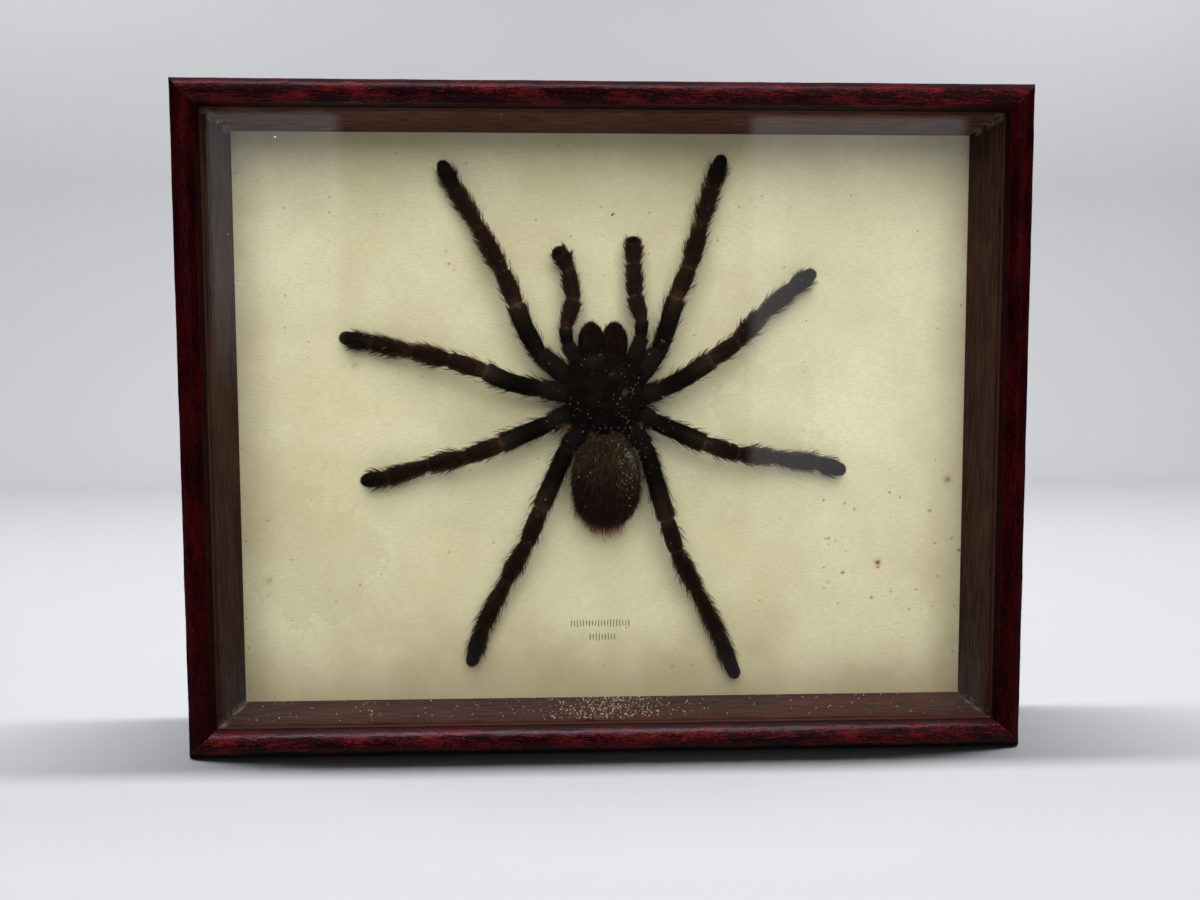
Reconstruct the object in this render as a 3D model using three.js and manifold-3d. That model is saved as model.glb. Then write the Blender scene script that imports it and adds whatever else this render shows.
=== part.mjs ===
// A dried tarantula on a paper-faced card, in a deep glazed wooden frame.
// Millimetres. The frame stands on its lower edge: +X to the right, +Z up, and the glass faces -Y.
// The origin is the middle of the underside of the frame.

import * as THREE from "three";
import { mergeVertices } from "three/addons/utils/BufferGeometryUtils.js";
import Module from "manifold-3d";

// Frame
const FRAME_WIDTH = 241.3;
const FRAME_HEIGHT = 190.5;
const FRAME_DEPTH = 36;
const RAIL_THICKNESS = 7.3;
const MITRE_GAP = 0.1;
const ROUND_STEPS = 10;

// Depths behind the foremost line of the moulding
const GLASS_GROOVE_FROM = 6.2;
const GLASS_GROOVE_TO = 8.4;
const GLASS_GROOVE_DEPTH = 3;
const RABBET_FROM = 29;
const RABBET_WIDTH = 4;

// Flat pieces, each a hair's breadth from the next
const LAYER_GAP = 0.1;
const GLASS_THICKNESS = 2;
const GLASS_EDGE_GAP = 0.3;
const CARD_THICKNESS = 1.5;
const PANEL_THICKNESS = 2.5;
const PANEL_EDGE_GAP = 0.4;

// Framer's points: flat steel darts pushed into the rabbet's wall behind the panel
const POINT_WIDTH = 8;
const POINT_LENGTH = 10;
const POINT_THICKNESS = 0.5;
const POINT_SUNK = 1.8;
const POINT_CLEARANCE = 0.3;
const POINT_SHOULDER = 3;
const POINT_OFFSET_LONG = 70;
const POINT_OFFSET_SHORT = 45;

// Sawtooth hanger, riveted to the panel
const HANGER_LENGTH = 44;
const HANGER_HEIGHT = 9;
const HANGER_THICKNESS = 0.8;
const HANGER_TEETH = 11;
const HANGER_TOOTH_WIDTH = 2.5;
const HANGER_TOOTH_DEPTH = 1.6;
const HANGER_CORNER = 3;
const HANGER_FOOT_Z = 160;
const RIVET_SPACING = 36;
const RIVET_SHANK_RADIUS = 0.9;
const RIVET_HOLE_RADIUS = 1.3;
const RIVET_HEAD_RADIUS = 2.1;
const RIVET_HEAD_HEIGHT = 0.8;
const RIVET_SIDES = 16;

// Tarantula. Heights are above the card's face. Limb joints run from the hidden root outwards.
const LIMB_SIDES = 8;
const LEG_HEIGHTS = [6.5, 7, 10, 9, 6, 3.8, 2.9];
const PALP_HEIGHTS = [6.5, 7.5, 8, 7, 5.5, 4.5, 4];
const RING_PLACES = [0.1, 0.5, 0.9];
const TIP_RING_PLACE = 0.97;
const TIP_RING_SHARE = 0.6;

// Radii at the three rings of each segment: coxa with trochanter, femur, patella, tibia,
// metatarsus, tarsus. A palp's tarsus has two of the six.
const LEG_RADII = [
  [3.1, 3.3, 2.9],
  [2.8, 2.8, 3.0],
  [2.5, 2.8, 2.5],
  [2.3, 2.7, 2.2],
  [1.9, 2.3, 2.4],
  [2.2, 2.5, 2.1],
];
const PALP_RADII = [
  [2.6, 2.7, 2.3],
  [2.1, 2.0, 2.1],
  [2.2, 2.5, 2.7],
  [2.3, 2.4, 2.1],
  [2.1, 2.4, 2.7],
  [2.8, 2.8, 2.5],
];

// Each limb: its root [x, z], its segments' lengths as seen from the front, and their headings in
// degrees counter-clockwise from +X. First to fourth pair, left before right.
const LEGS = [
  [[-9, 106.5], [14.5, 16, 10.5, 15, 13.5, 10.5], [141, 115, 112, 118, 122, 117]],
  [[8.5, 107], [12, 16.5, 9.5, 13, 13, 11], [52, 73, 65, 73, 73, 71]],
  [[-9, 103.5], [11, 17.5, 11, 11.5, 13, 10.5], [172, 162, 163, 166, 169, 168]],
  [[8.5, 102.5], [8, 17.5, 9.5, 11.5, 12, 10.5], [15, 31, 33, 47, 39, 38]],
  [[-8.5, 99], [9.5, 16, 11, 12, 13.5, 9], [206, 203, 200, 193, 197, 188]],
  [[7.5, 99], [7.5, 17, 10.5, 11, 14.5, 10.5], [-29, -24, -18, -7, -7, -16]],
  [[-5, 96.5], [11.5, 20, 11.5, 13.5, 16.5, 14], [233, 246, 248, 241, 243, 252]],
  [[5, 96.5], [11, 23.5, 10, 14, 16.5, 16], [-52, -74, -73, -63, -63, -68]],
];
const PALPS = [
  [[-6.5, 110], [10, 5, 8.5, 9, 5, 3.5], [122, 97, 73, 98, 113, 136]],
  [[7.5, 110], [11, 5, 7.5, 10, 5.5, 3], [74, 87, 106, 91, 92, 92]],
];

// Rounded forms of the trunk: middle [x, z], height of the middle, half sizes across the frame, up
// the frame and out of the card, and a bluntness (1 is an ellipsoid, smaller is boxier).
const CARAPACE = { at: [-0.5, 103.8], height: 6.9, half: [12.4, 12.4, 4.9], blunt: 0.62 };
const HEAD = { at: [-0.8, 109], height: 8, half: [7.6, 7.4, 4.4], blunt: 0.8 };
const EYE_MOUND = { at: [-1.2, 114.4], height: 10.8, half: [1.9, 1.6, 1.4], blunt: 0.9 };
const STERNUM = { at: [-0.3, 102.5], height: 3.6, half: [9.5, 11, 3.3], blunt: 0.8 };
const WAIST = { at: [0, 90.6], height: 5.6, half: [3.6, 4.2, 3], blunt: 0.9 };
const ABDOMEN = { at: [-0.2, 76.4], height: 7.1, half: [10.5, 13.9, 6.8], blunt: 0.92 };
const JAW_LEFT = { at: [-4.8, 118.8], height: 7, half: [3.7, 6.8, 4.2], blunt: 0.95 };
const JAW_RIGHT = { at: [2.7, 118.8], height: 7, half: [3.7, 6.8, 4.2], blunt: 0.95 };
const LARGE_SIDES = 20;
const SMALL_SIDES = 12;

const FRONT = -FRAME_DEPTH / 2;
const CARD_FACE = FRONT + RABBET_FROM + LAYER_GAP;
const PANEL_FACE = CARD_FACE + CARD_THICKNESS + LAYER_GAP;
const PANEL_BACK = PANEL_FACE + PANEL_THICKNESS;
const RABBET_WALL = RAIL_THICKNESS - RABBET_WIDTH;

const wasm = await Module();
wasm.setup();

function finish(color, roughness, metalness, opacity) {
  const transparent = opacity < 1;
  return new THREE.MeshStandardMaterial({ color, roughness, metalness, opacity, transparent });
}

const LACQUERED_WOOD = finish(0x4a0f12, 0.25, 0, 1);
const CLEAR_GLASS = finish(0xf2f6f4, 0.03, 0, 0.2);
const CREAM_PAPER = finish(0xe4e0c2, 0.85, 0, 1);
const HARDBOARD = finish(0x6b4a30, 0.75, 0, 1);
const ZINCED_STEEL = finish(0xa8a9a6, 0.35, 1, 1);
const BRASSED_STEEL = finish(0xb9985a, 0.35, 1, 1);
const DRY_CUTICLE = finish(0x2a1d16, 0.7, 0, 1);

function named(name, geometry, material) {
  const mesh = new THREE.Mesh(geometry, material);
  mesh.name = name;
  return mesh;
}

// Joins and cuts

function toSolid(geometry) {
  const bare = geometry.clone();
  bare.deleteAttribute("normal");
  bare.deleteAttribute("uv");
  const merged = mergeVertices(bare, 1e-4);
  return new wasm.Manifold(
    new wasm.Mesh({
      numProp: 3,
      vertProperties: merged.attributes.position.array,
      triVerts: new Uint32Array(merged.index.array),
    }),
  );
}

function toGeometry(solid) {
  const mesh = solid.getMesh();
  const geometry = new THREE.BufferGeometry();
  geometry.setAttribute("position", new THREE.BufferAttribute(mesh.vertProperties, 3));
  geometry.setIndex(new THREE.BufferAttribute(mesh.triVerts, 1));
  geometry.computeVertexNormals();
  return geometry;
}

function joined(geometries) {
  return toGeometry(geometries.map(toSolid).reduce((whole, next) => whole.add(next)));
}

function cut(geometry, cutters) {
  return toGeometry(cutters.map(toSolid).reduce((rest, next) => rest.subtract(next), toSolid(geometry)));
}

// A shape drawn in x and z, made this thick backwards from the given depth.
function upright(shape, thickness, fromDepth) {
  const plate = new THREE.ExtrudeGeometry(shape, { depth: thickness, bevelEnabled: false });
  return plate.rotateX(Math.PI / 2).translate(0, fromDepth + thickness, 0);
}

// Frame sides. Each is drawn in its own frame: x along the rail from its middle, y backwards, and
// z inwards from the outer face.

// The moulding's section: x is measured inwards and y backwards.
function mouldingSection() {
  const round = RAIL_THICKNESS / 2;
  const grooveFloor = RAIL_THICKNESS - GLASS_GROOVE_DEPTH;
  const section = new THREE.Shape();
  section.absarc(round, round, round, Math.PI, 2 * Math.PI, false);
  section.lineTo(RAIL_THICKNESS, GLASS_GROOVE_FROM);
  section.lineTo(grooveFloor, GLASS_GROOVE_FROM);
  section.lineTo(grooveFloor, GLASS_GROOVE_TO);
  section.lineTo(RAIL_THICKNESS, GLASS_GROOVE_TO);
  section.lineTo(RAIL_THICKNESS, RABBET_FROM);
  section.lineTo(RABBET_WALL, RABBET_FROM);
  section.lineTo(RABBET_WALL, FRAME_DEPTH);
  section.lineTo(0, FRAME_DEPTH);
  return section;
}

function railGeometry(length, pointOffsets) {
  const bar = new THREE.ExtrudeGeometry(mouldingSection(), {
    depth: length,
    bevelEnabled: false,
    curveSegments: ROUND_STEPS,
  });
  const vertices = bar.attributes.position;
  for (let i = 0; i < vertices.count; i++) {
    const inwards = vertices.getX(i);
    const backwards = vertices.getY(i);
    const mitre = inwards + MITRE_GAP / 2;
    const along = vertices.getZ(i) > length / 2 ? length - mitre : mitre;
    vertices.setXYZ(i, length / 2 - along, FRONT + backwards, inwards);
  }
  const slots = pointOffsets.map((offset) =>
    new THREE.BoxGeometry(
      POINT_WIDTH + 2 * POINT_CLEARANCE,
      POINT_THICKNESS + 2 * POINT_CLEARANCE,
      2 * (POINT_SUNK + POINT_CLEARANCE),
    ).translate(offset, PANEL_BACK + LAYER_GAP + POINT_THICKNESS / 2, RABBET_WALL),
  );
  return cut(bar, slots);
}

// A dart with its tip in the rabbet's wall and its flat on the panel.
function pointGeometry(offset) {
  const head = POINT_LENGTH - POINT_SUNK;
  const dart = new THREE.Shape();
  dart.moveTo(0, -POINT_SUNK);
  dart.lineTo(POINT_WIDTH / 2, 0);
  dart.lineTo(POINT_WIDTH / 2, head - POINT_SHOULDER);
  dart.lineTo(POINT_WIDTH / 4, head);
  dart.lineTo(-POINT_WIDTH / 4, head);
  dart.lineTo(-POINT_WIDTH / 2, head - POINT_SHOULDER);
  dart.lineTo(-POINT_WIDTH / 2, 0);
  return upright(dart, POINT_THICKNESS, PANEL_BACK + LAYER_GAP).translate(offset, 0, RABBET_WALL);
}

function frameSide(side, length, pointOffset, turn, place) {
  const offsets = [-pointOffset, pointOffset];
  const group = new THREE.Group();
  group.rotation.y = turn;
  group.position.set(...place);
  group.add(named(`rail_${side}`, railGeometry(length, offsets), LACQUERED_WOOD));
  offsets.forEach((offset, i) => {
    group.add(named(`framers_point_${side}_${i + 1}`, pointGeometry(offset), ZINCED_STEEL));
  });
  return group;
}

function frameSides() {
  const middle = FRAME_HEIGHT / 2;
  const quarter = Math.PI / 2;
  return [
    frameSide("bottom", FRAME_WIDTH, POINT_OFFSET_LONG, 0, [0, 0, 0]),
    frameSide("top", FRAME_WIDTH, POINT_OFFSET_LONG, Math.PI, [0, 0, FRAME_HEIGHT]),
    frameSide("left", FRAME_HEIGHT, POINT_OFFSET_SHORT, quarter, [-FRAME_WIDTH / 2, 0, middle]),
    frameSide("right", FRAME_HEIGHT, POINT_OFFSET_SHORT, -quarter, [FRAME_WIDTH / 2, 0, middle]),
  ];
}

// Flat pieces

// A rectangle in the middle of the frame, this far in from the frame's outer faces.
function insetRectangle(inset) {
  const right = FRAME_WIDTH / 2 - inset;
  const shape = new THREE.Shape();
  shape.moveTo(-right, inset);
  shape.lineTo(right, inset);
  shape.lineTo(right, FRAME_HEIGHT - inset);
  shape.lineTo(-right, FRAME_HEIGHT - inset);
  return shape;
}

function addRivetHoles(shape) {
  for (const side of [-1, 1]) {
    const hole = new THREE.Path();
    const z = HANGER_FOOT_Z + HANGER_HEIGHT / 2;
    hole.absarc((side * RIVET_SPACING) / 2, z, RIVET_HOLE_RADIUS, 0, 2 * Math.PI, true);
    shape.holes.push(hole);
  }
}

function glassGeometry() {
  const inset = RAIL_THICKNESS - GLASS_GROOVE_DEPTH + GLASS_EDGE_GAP;
  return upright(insetRectangle(inset), GLASS_THICKNESS, FRONT + GLASS_GROOVE_FROM + LAYER_GAP);
}

function cardGeometry() {
  return upright(insetRectangle(RABBET_WALL + PANEL_EDGE_GAP), CARD_THICKNESS, CARD_FACE);
}

function panelGeometry() {
  const sheet = insetRectangle(RABBET_WALL + PANEL_EDGE_GAP);
  addRivetHoles(sheet);
  return upright(sheet, PANEL_THICKNESS, PANEL_FACE);
}

function hangerGeometry() {
  const end = HANGER_LENGTH / 2;
  const top = HANGER_FOOT_Z + HANGER_HEIGHT;
  const firstTooth = (-HANGER_TEETH * HANGER_TOOTH_WIDTH) / 2;
  const plate = new THREE.Shape();
  plate.moveTo(-end, HANGER_FOOT_Z);
  plate.lineTo(firstTooth, HANGER_FOOT_Z);
  for (let tooth = 0; tooth < HANGER_TEETH; tooth++) {
    const from = firstTooth + tooth * HANGER_TOOTH_WIDTH;
    plate.lineTo(from + HANGER_TOOTH_WIDTH / 2, HANGER_FOOT_Z + HANGER_TOOTH_DEPTH);
    plate.lineTo(from + HANGER_TOOTH_WIDTH, HANGER_FOOT_Z);
  }
  plate.lineTo(end, HANGER_FOOT_Z);
  plate.lineTo(end, top - HANGER_CORNER);
  plate.lineTo(end - HANGER_CORNER, top);
  plate.lineTo(-end + HANGER_CORNER, top);
  plate.lineTo(-end, top - HANGER_CORNER);
  addRivetHoles(plate);
  return upright(plate, HANGER_THICKNESS, PANEL_BACK + LAYER_GAP);
}

function rivetGeometry() {
  const headFrom = PANEL_BACK + 2 * LAYER_GAP + HANGER_THICKNESS;
  const profile = [
    [0, PANEL_FACE + LAYER_GAP],
    [RIVET_SHANK_RADIUS, PANEL_FACE + LAYER_GAP],
    [RIVET_SHANK_RADIUS, headFrom],
    [RIVET_HEAD_RADIUS, headFrom],
    [RIVET_HEAD_RADIUS * 0.8, headFrom + RIVET_HEAD_HEIGHT * 0.7],
    [0, headFrom + RIVET_HEAD_HEIGHT],
  ];
  return new THREE.LatheGeometry(
    profile.map(([radius, depth]) => new THREE.Vector2(radius, depth)),
    RIVET_SIDES,
  );
}

function rivet(name, side) {
  const mesh = named(name, rivetGeometry(), BRASSED_STEEL);
  mesh.position.set((side * RIVET_SPACING) / 2, 0, HANGER_FOOT_Z + HANGER_HEIGHT / 2);
  return mesh;
}

// Tarantula

function onCard(x, z, height) {
  return new THREE.Vector3(x, CARD_FACE - height, z);
}

// A limb's joints, from its root to its tip.
function limbJoints([root, lengths, headings], heights) {
  let [x, z] = root;
  const joints = [onCard(x, z, heights[0])];
  lengths.forEach((length, i) => {
    const heading = THREE.MathUtils.degToRad(headings[i]);
    x += length * Math.cos(heading);
    z += length * Math.sin(heading);
    joints.push(onCard(x, z, heights[i + 1]));
  });
  return joints;
}

// The rings that a limb's skin runs over, with a point at each end.
function limbRings(joints, radii) {
  const rings = [];
  radii.forEach((segment, i) => {
    const direction = joints[i + 1].clone().sub(joints[i]).normalize();
    const ring = (place, radius) => {
      const middle = joints[i].clone().lerp(joints[i + 1], place);
      rings.push({ middle, direction, radius });
    };
    if (i === 0) ring(0, 0);
    RING_PLACES.forEach((place, j) => ring(place, segment[j]));
    if (i === radii.length - 1) {
      ring(TIP_RING_PLACE, segment[2] * TIP_RING_SHARE);
      ring(1, 0);
    }
  });
  return rings;
}

// A lathe whose height counts the rings is bent along the limb, ring by ring.
function limbGeometry(limb, radii, heights) {
  const rings = limbRings(limbJoints(limb, heights), radii);
  const profile = rings.map(({ radius }, i) => new THREE.Vector2(radius, i));
  const skin = new THREE.LatheGeometry(profile, LIMB_SIDES);
  const vertices = skin.attributes.position;
  const outwards = new THREE.Vector3(0, -1, 0);
  for (let i = 0; i < vertices.count; i++) {
    const { middle, direction } = rings[Math.round(vertices.getY(i))];
    const side = direction.clone().cross(outwards).normalize();
    const up = side.clone().cross(direction);
    const place = middle.clone();
    place.addScaledVector(side, vertices.getX(i));
    place.addScaledVector(up, vertices.getZ(i));
    vertices.setXYZ(i, place.x, place.y, place.z);
  }
  return skin;
}

// A rounded form of the trunk, with its poles out of and into the card.
function roundedForm({ at, height, half, blunt }, sides) {
  const form = new THREE.SphereGeometry(1, sides, sides / 2);
  const vertices = form.attributes.position;
  const bulge = (value) => Math.sign(value) * Math.abs(value) ** blunt;
  for (let i = 0; i < vertices.count; i++) {
    vertices.setXYZ(
      i,
      at[0] + half[0] * bulge(vertices.getX(i)),
      CARD_FACE - height + half[2] * bulge(vertices.getY(i)),
      at[1] + half[1] * bulge(vertices.getZ(i)),
    );
  }
  return form;
}

function tarantulaGeometry() {
  return joined([
    ...[CARAPACE, HEAD, STERNUM, ABDOMEN].map((form) => roundedForm(form, LARGE_SIDES)),
    ...[WAIST, EYE_MOUND, JAW_LEFT, JAW_RIGHT].map((form) => roundedForm(form, SMALL_SIDES)),
    ...LEGS.map((leg) => limbGeometry(leg, LEG_RADII, LEG_HEIGHTS)),
    ...PALPS.map((palp) => limbGeometry(palp, PALP_RADII, PALP_HEIGHTS)),
  ]);
}

const specimen = new THREE.Group();
specimen.add(...frameSides());
specimen.add(named("glass", glassGeometry(), CLEAR_GLASS));
specimen.add(named("mount_card", cardGeometry(), CREAM_PAPER));
specimen.add(named("back_panel", panelGeometry(), HARDBOARD));
specimen.add(named("hanger_plate", hangerGeometry(), BRASSED_STEEL));
specimen.add(rivet("hanger_rivet_left", -1));
specimen.add(rivet("hanger_rivet_right", 1));
specimen.add(named("tarantula", tarantulaGeometry(), DRY_CUTICLE));

export default specimen;
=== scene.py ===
"""Looks of a framed, dried tarantula: lacquered rails, glass, foxed paper and a furred spider.

Sizes are in millimetres in the row frame, +X right, +Y into the frame, +Z up, and become metres
only where meshes, materials, lamps and the camera are made. The glass faces -Y.
"""

import math
from dataclasses import dataclass

import bpy
import numpy as np
from mathutils import Matrix, Vector


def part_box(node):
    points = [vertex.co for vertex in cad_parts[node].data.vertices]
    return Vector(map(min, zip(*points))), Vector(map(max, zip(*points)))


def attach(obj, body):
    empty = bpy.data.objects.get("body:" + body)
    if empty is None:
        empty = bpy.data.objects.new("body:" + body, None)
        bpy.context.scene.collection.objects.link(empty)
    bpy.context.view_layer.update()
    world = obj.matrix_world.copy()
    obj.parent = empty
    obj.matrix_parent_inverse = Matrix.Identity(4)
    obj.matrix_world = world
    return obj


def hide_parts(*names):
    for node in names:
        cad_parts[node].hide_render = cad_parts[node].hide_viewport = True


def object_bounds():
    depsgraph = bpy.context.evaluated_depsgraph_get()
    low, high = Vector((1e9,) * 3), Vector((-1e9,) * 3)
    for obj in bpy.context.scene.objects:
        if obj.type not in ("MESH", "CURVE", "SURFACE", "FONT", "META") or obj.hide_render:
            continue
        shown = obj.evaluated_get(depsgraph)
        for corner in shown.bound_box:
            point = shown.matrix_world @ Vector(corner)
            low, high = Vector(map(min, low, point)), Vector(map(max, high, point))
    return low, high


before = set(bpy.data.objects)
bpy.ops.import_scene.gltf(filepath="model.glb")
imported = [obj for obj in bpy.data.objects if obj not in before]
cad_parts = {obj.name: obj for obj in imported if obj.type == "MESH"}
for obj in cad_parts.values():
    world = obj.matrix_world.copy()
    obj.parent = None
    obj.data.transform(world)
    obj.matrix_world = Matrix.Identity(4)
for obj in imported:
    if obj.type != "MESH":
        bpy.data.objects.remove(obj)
cad_low, cad_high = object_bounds()

MM = 0.001
SEED = 41

# The CAD model's size, the frame's front and the card's face
FRAME_WIDTH = (cad_high.x - cad_low.x) / MM
FRAME_HEIGHT = (cad_high.z - cad_low.z) / MM
FRAME_DEPTH = (cad_high.y - cad_low.y) / MM
FRONT = cad_low.y / MM
CARD_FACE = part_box("mount_card")[0].y / MM

# Moulding, as in the CAD source: inwards from the outer face, and backwards from the front
RAIL_THICKNESS = 7.3
MITRE_GAP = 0.1
GROOVE_FROM = 6.2
GROOVE_TO = 8.4
GROOVE_DEPTH = 3.0
RABBET_FROM = 29.0
RABBET_WIDTH = 4.0
QUIRK = 0.28
# QUIRK_SHADE: the depth from the front up to which the wood is painted near-black, a painted shade in the
# quirk
QUIRK_SHADE = 4.9
EDGE = 0.15
ROUND_STEPS = 26
RAIL_STEP = 1.6
WALL_STEP = 2.5
OUTER_STEPS = 12
SHARP_DEG = 32
# Rounded edges of the metal at the back
POINT_EDGE = 0.08
HANGER_EDGE = 0.12
BEVEL_DEG = 40
# Waves in the lacquer, depth and wavelength, and how far they may stand out
DENTS = ((0.09, 17), (0.05, 5))
DENT_CAP = 0.06


@dataclass
class Finish:
    """A rail's wood: the grain's stretch, the lacquer's red and shine, and the bare wood's light. The red's
    share, its fade at the bead's outer edge and the bare wood's light are painted light and shade.
    """

    grain: tuple
    lit_red_share: float
    red_from: tuple
    outer_shade_fade: tuple
    shine: float
    shine_tint: tuple
    painted_wall_light: float


# Lit and shaded copies of one finish: more red on the level rails, a wider dark fade on the top rail's outer
# edge and a brighter wall under the top rail are painted light and shade
FINISHES = {
    "top": Finish((0.3, 1, 1), 0.75, (0.475, 0.59), (1.2, 3.4), 0.40, (1.0, 0.66, 0.76), 2.6),
    "bottom": Finish((0.3, 1, 1), 0.85, (0.475, 0.59), (-0.3, 1.4), 0.40, (1.0, 0.66, 0.76), 1.15),
    "upright": Finish((1, 1, 0.3), 0.23, (0.42, 0.62), (-0.3, 1.4), 0.20, (1.0, 0.35, 0.42), 0.95),
}

# Camera, from the four corners of the frame and of the paper
CAMERA_PLACE = (-10.97, -271.27, 103.32)
CAMERA_TURNS_DEG = (86.48, -1.86, -0.29)
CAMERA_LENS = 27.03
SENSOR_WIDTH = 36.0

# Tarantula, as in the CAD source: heights above the card and limb joints from the hidden roots
LEG_HEIGHTS = (6.5, 7, 10, 9, 6, 3.8, 2.9)
PALP_HEIGHTS = (6.5, 7.5, 8, 7, 5.5, 4.5, 4)
RING_PLACES = (0.1, 0.5, 0.9)
LEG_RADII = (
    (3.1, 3.3, 2.9),
    (2.8, 2.8, 3.0),
    (2.5, 2.8, 2.5),
    (2.3, 2.7, 2.2),
    (1.9, 2.3, 2.4),
    (2.2, 2.5, 2.1),
)
PALP_RADII = (
    (2.6, 2.7, 2.3),
    (2.1, 2.0, 2.1),
    (2.2, 2.5, 2.7),
    (2.3, 2.4, 2.1),
    (2.1, 2.4, 2.7),
    (2.8, 2.8, 2.5),
)
# Each limb: root [x, z], segment lengths, headings in degrees from +X, and the femur's bow
LEGS = (
    ((-9, 106.5), (14.5, 16, 10.5, 15, 13.5, 10.5), (141, 115, 112, 118, 122, 117), 0.6),
    ((8.5, 107), (12, 16.5, 9.5, 13, 13, 11), (52, 73, 65, 73, 73, 71), -0.3),
    ((-9, 103.5), (11, 17.5, 11, 11.5, 13, 10.5), (172, 162, 163, 166, 169, 168), 0.85),
    ((8.5, 102.5), (8, 17.5, 9.5, 11.5, 12, 10.5), (15, 31, 33, 47, 39, 38), -0.6),
    ((-8.5, 99), (9.5, 16, 11, 12, 13.5, 9), (206, 203, 200, 193, 197, 188), 0),
    ((7.5, 99), (7.5, 17, 10.5, 11, 14.5, 10.5), (-29, -24, -18, -7, -7, -16), 0),
    ((-5, 96.5), (11.5, 20, 11.5, 13.5, 16.5, 14), (233, 246, 248, 241, 243, 252), 0),
    ((5, 96.5), (11, 23.5, 10, 14, 16.5, 16), (-52, -74, -73, -63, -63, -68), 0),
)
PALPS = (
    ((-6.5, 110), (10, 5, 8.5, 9, 5, 3.5), (122, 97, 73, 98, 113, 136), 0),
    ((7.5, 110), (11, 5, 7.5, 10, 5.5, 3), (74, 87, 106, 91, 92, 92), 0),
)

# Trunk forms: middle [x, z], height, half sizes [across, up, out], bluntness
CARAPACE = ((-0.5, 103.8), 6.9, (12.4, 12.4, 4.9), 0.62)
HEAD = ((-0.8, 109.3), 8, (7.8, 8.2, 4.4), 0.7)
EYE_MOUND = ((-1.2, 114.4), 10.8, (1.9, 1.6, 1.4), 0.9)
STERNUM = ((-0.3, 102.5), 3.6, (9.5, 11, 3.3), 0.8)
WAIST = ((0, 90.6), 5.6, (3.6, 4.2, 3), 0.9)
ABDOMEN = ((-0.2, 76.8), 7.1, (10.1, 13.2, 6.8), 0.85)
JAWS = (
    ((-4.6, 118.4), 7, (3.75, 6.4, 4.2), 0.95),
    ((2.45, 118.4), 7, (3.75, 6.4, 4.2), 0.95),
)
# Columns and rows of their meshes
TRUNK_GRID = (56, 36)
JAW_GRID = (40, 30)
EYE_GRID = (14, 9)
FOVEA = (-0.6, 101.0)
ABDOMEN_BELOW = 91.5
# The fovea's depth and half sizes [across, along]
FOVEA_PIT = (0.8, 1.9, 0.8)
# Grooves that run out from the fovea: degrees from straight ahead, and depth
FOVEA_GROOVES = ((38, 0.45), (72, 0.24), (106, 0.24), (142, 0.28))
# Pairs of eyes on the mound: sideways and ahead of its middle, and radius
EYE_PAIRS = ((0.45, 0.25, 0.34), (0.95, 0.75, 0.26), (1.25, -0.35, 0.28), (0.85, -0.75, 0.22))

# Skin and fur
SKIN_SHARE = 0.9
CREASES = ((0.10, 2.4), (0.05, 0.9))
WRINKLES = ((0.12, 3.2), (0.05, 1.0))
RING_STEP = 0.45
LIMB_SIDES = 22
LIMB_FLATNESS = 0.95
PATH_SMOOTHING = 2.2
RADIUS_SMOOTHING = 1.6
NECK_DEPTH = 0.17
NECK_LENGTH = 1.5
FLARE = 0.04
FLARE_LENGTH = 1.0
TIP_LENGTH = 2.4
VOXEL = 0.38
SMOOTH_PASSES = 9
CARD_CLEARANCE = 0.06
FUR_DEPTH = 0.45
LIMB_FUR = 0.62
JAW_FUR = 1.1
JAW_SHARE = 0.97
JAW_TAPER = 0.06
# Hair on the abdomen and on the back: length, and how thick the velvet and the bristles grow
REAR_COAT = (1.45, 1.1, 1.0)
BACK_COAT = (0.8, 1.0, 0.16)
HAIR_ROOT = 0.05
HAIR_SIDES = (0.0, 2.094, 4.189)

# Colours, linear
DARK_CUTICLE = (0.0045, 0.0028, 0.0018)
OLIVE_BLACK = (0.0042, 0.0026, 0.0012)
COXA_BROWN = (0.0105, 0.006, 0.0042)
RUST_BROWN = (0.034, 0.011, 0.006)
RED_BROWN = (0.036, 0.0125, 0.0065)
FEMUR_OLIVE = (0.024, 0.0145, 0.0068)
DARK_FOOT = (0.015, 0.0075, 0.005)
JOINT_RIM = (0.11, 0.065, 0.04)
OLIVE_HAIR = (0.050, 0.035, 0.0135)
TAN_HAIR = (0.16, 0.085, 0.035)
RUST_HAIR = (0.26, 0.075, 0.03)
PALE_HAIR = (0.22, 0.23, 0.23)
# Pink of the hairs on the eye mound, a painted highlight standing in for its glint
PAINTED_EYE_GLINT = (0.34, 0.14, 0.09)
LACQUER_BLACK = (0.0040, 0.0005, 0.0008)
LACQUER_RED = (0.105, 0.0018, 0.0032)
LACQUER_BRIGHT = (0.30, 0.008, 0.009)
LACQUER_CRACK = (0.07, 0.03, 0.018)
WALL_WOOD = ((0.014, 0.0050, 0.0038), (0.056, 0.0205, 0.0155))
WALL_PATCH = (0.070, 0.025, 0.015)
LIP_RED = (0.072, 0.018, 0.013)
# Near-black painted shade along the quirk in front of the lip
QUIRK_PAINTED_SHADE = (0.003, 0.0008, 0.0008)
OLD_GLUE = (0.26, 0.22, 0.17)
PAPER = ((0.62, 0.56, 0.345), (0.72, 0.665, 0.44))
PAPER_FIBRE = (0.40, 0.34, 0.19)
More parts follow.
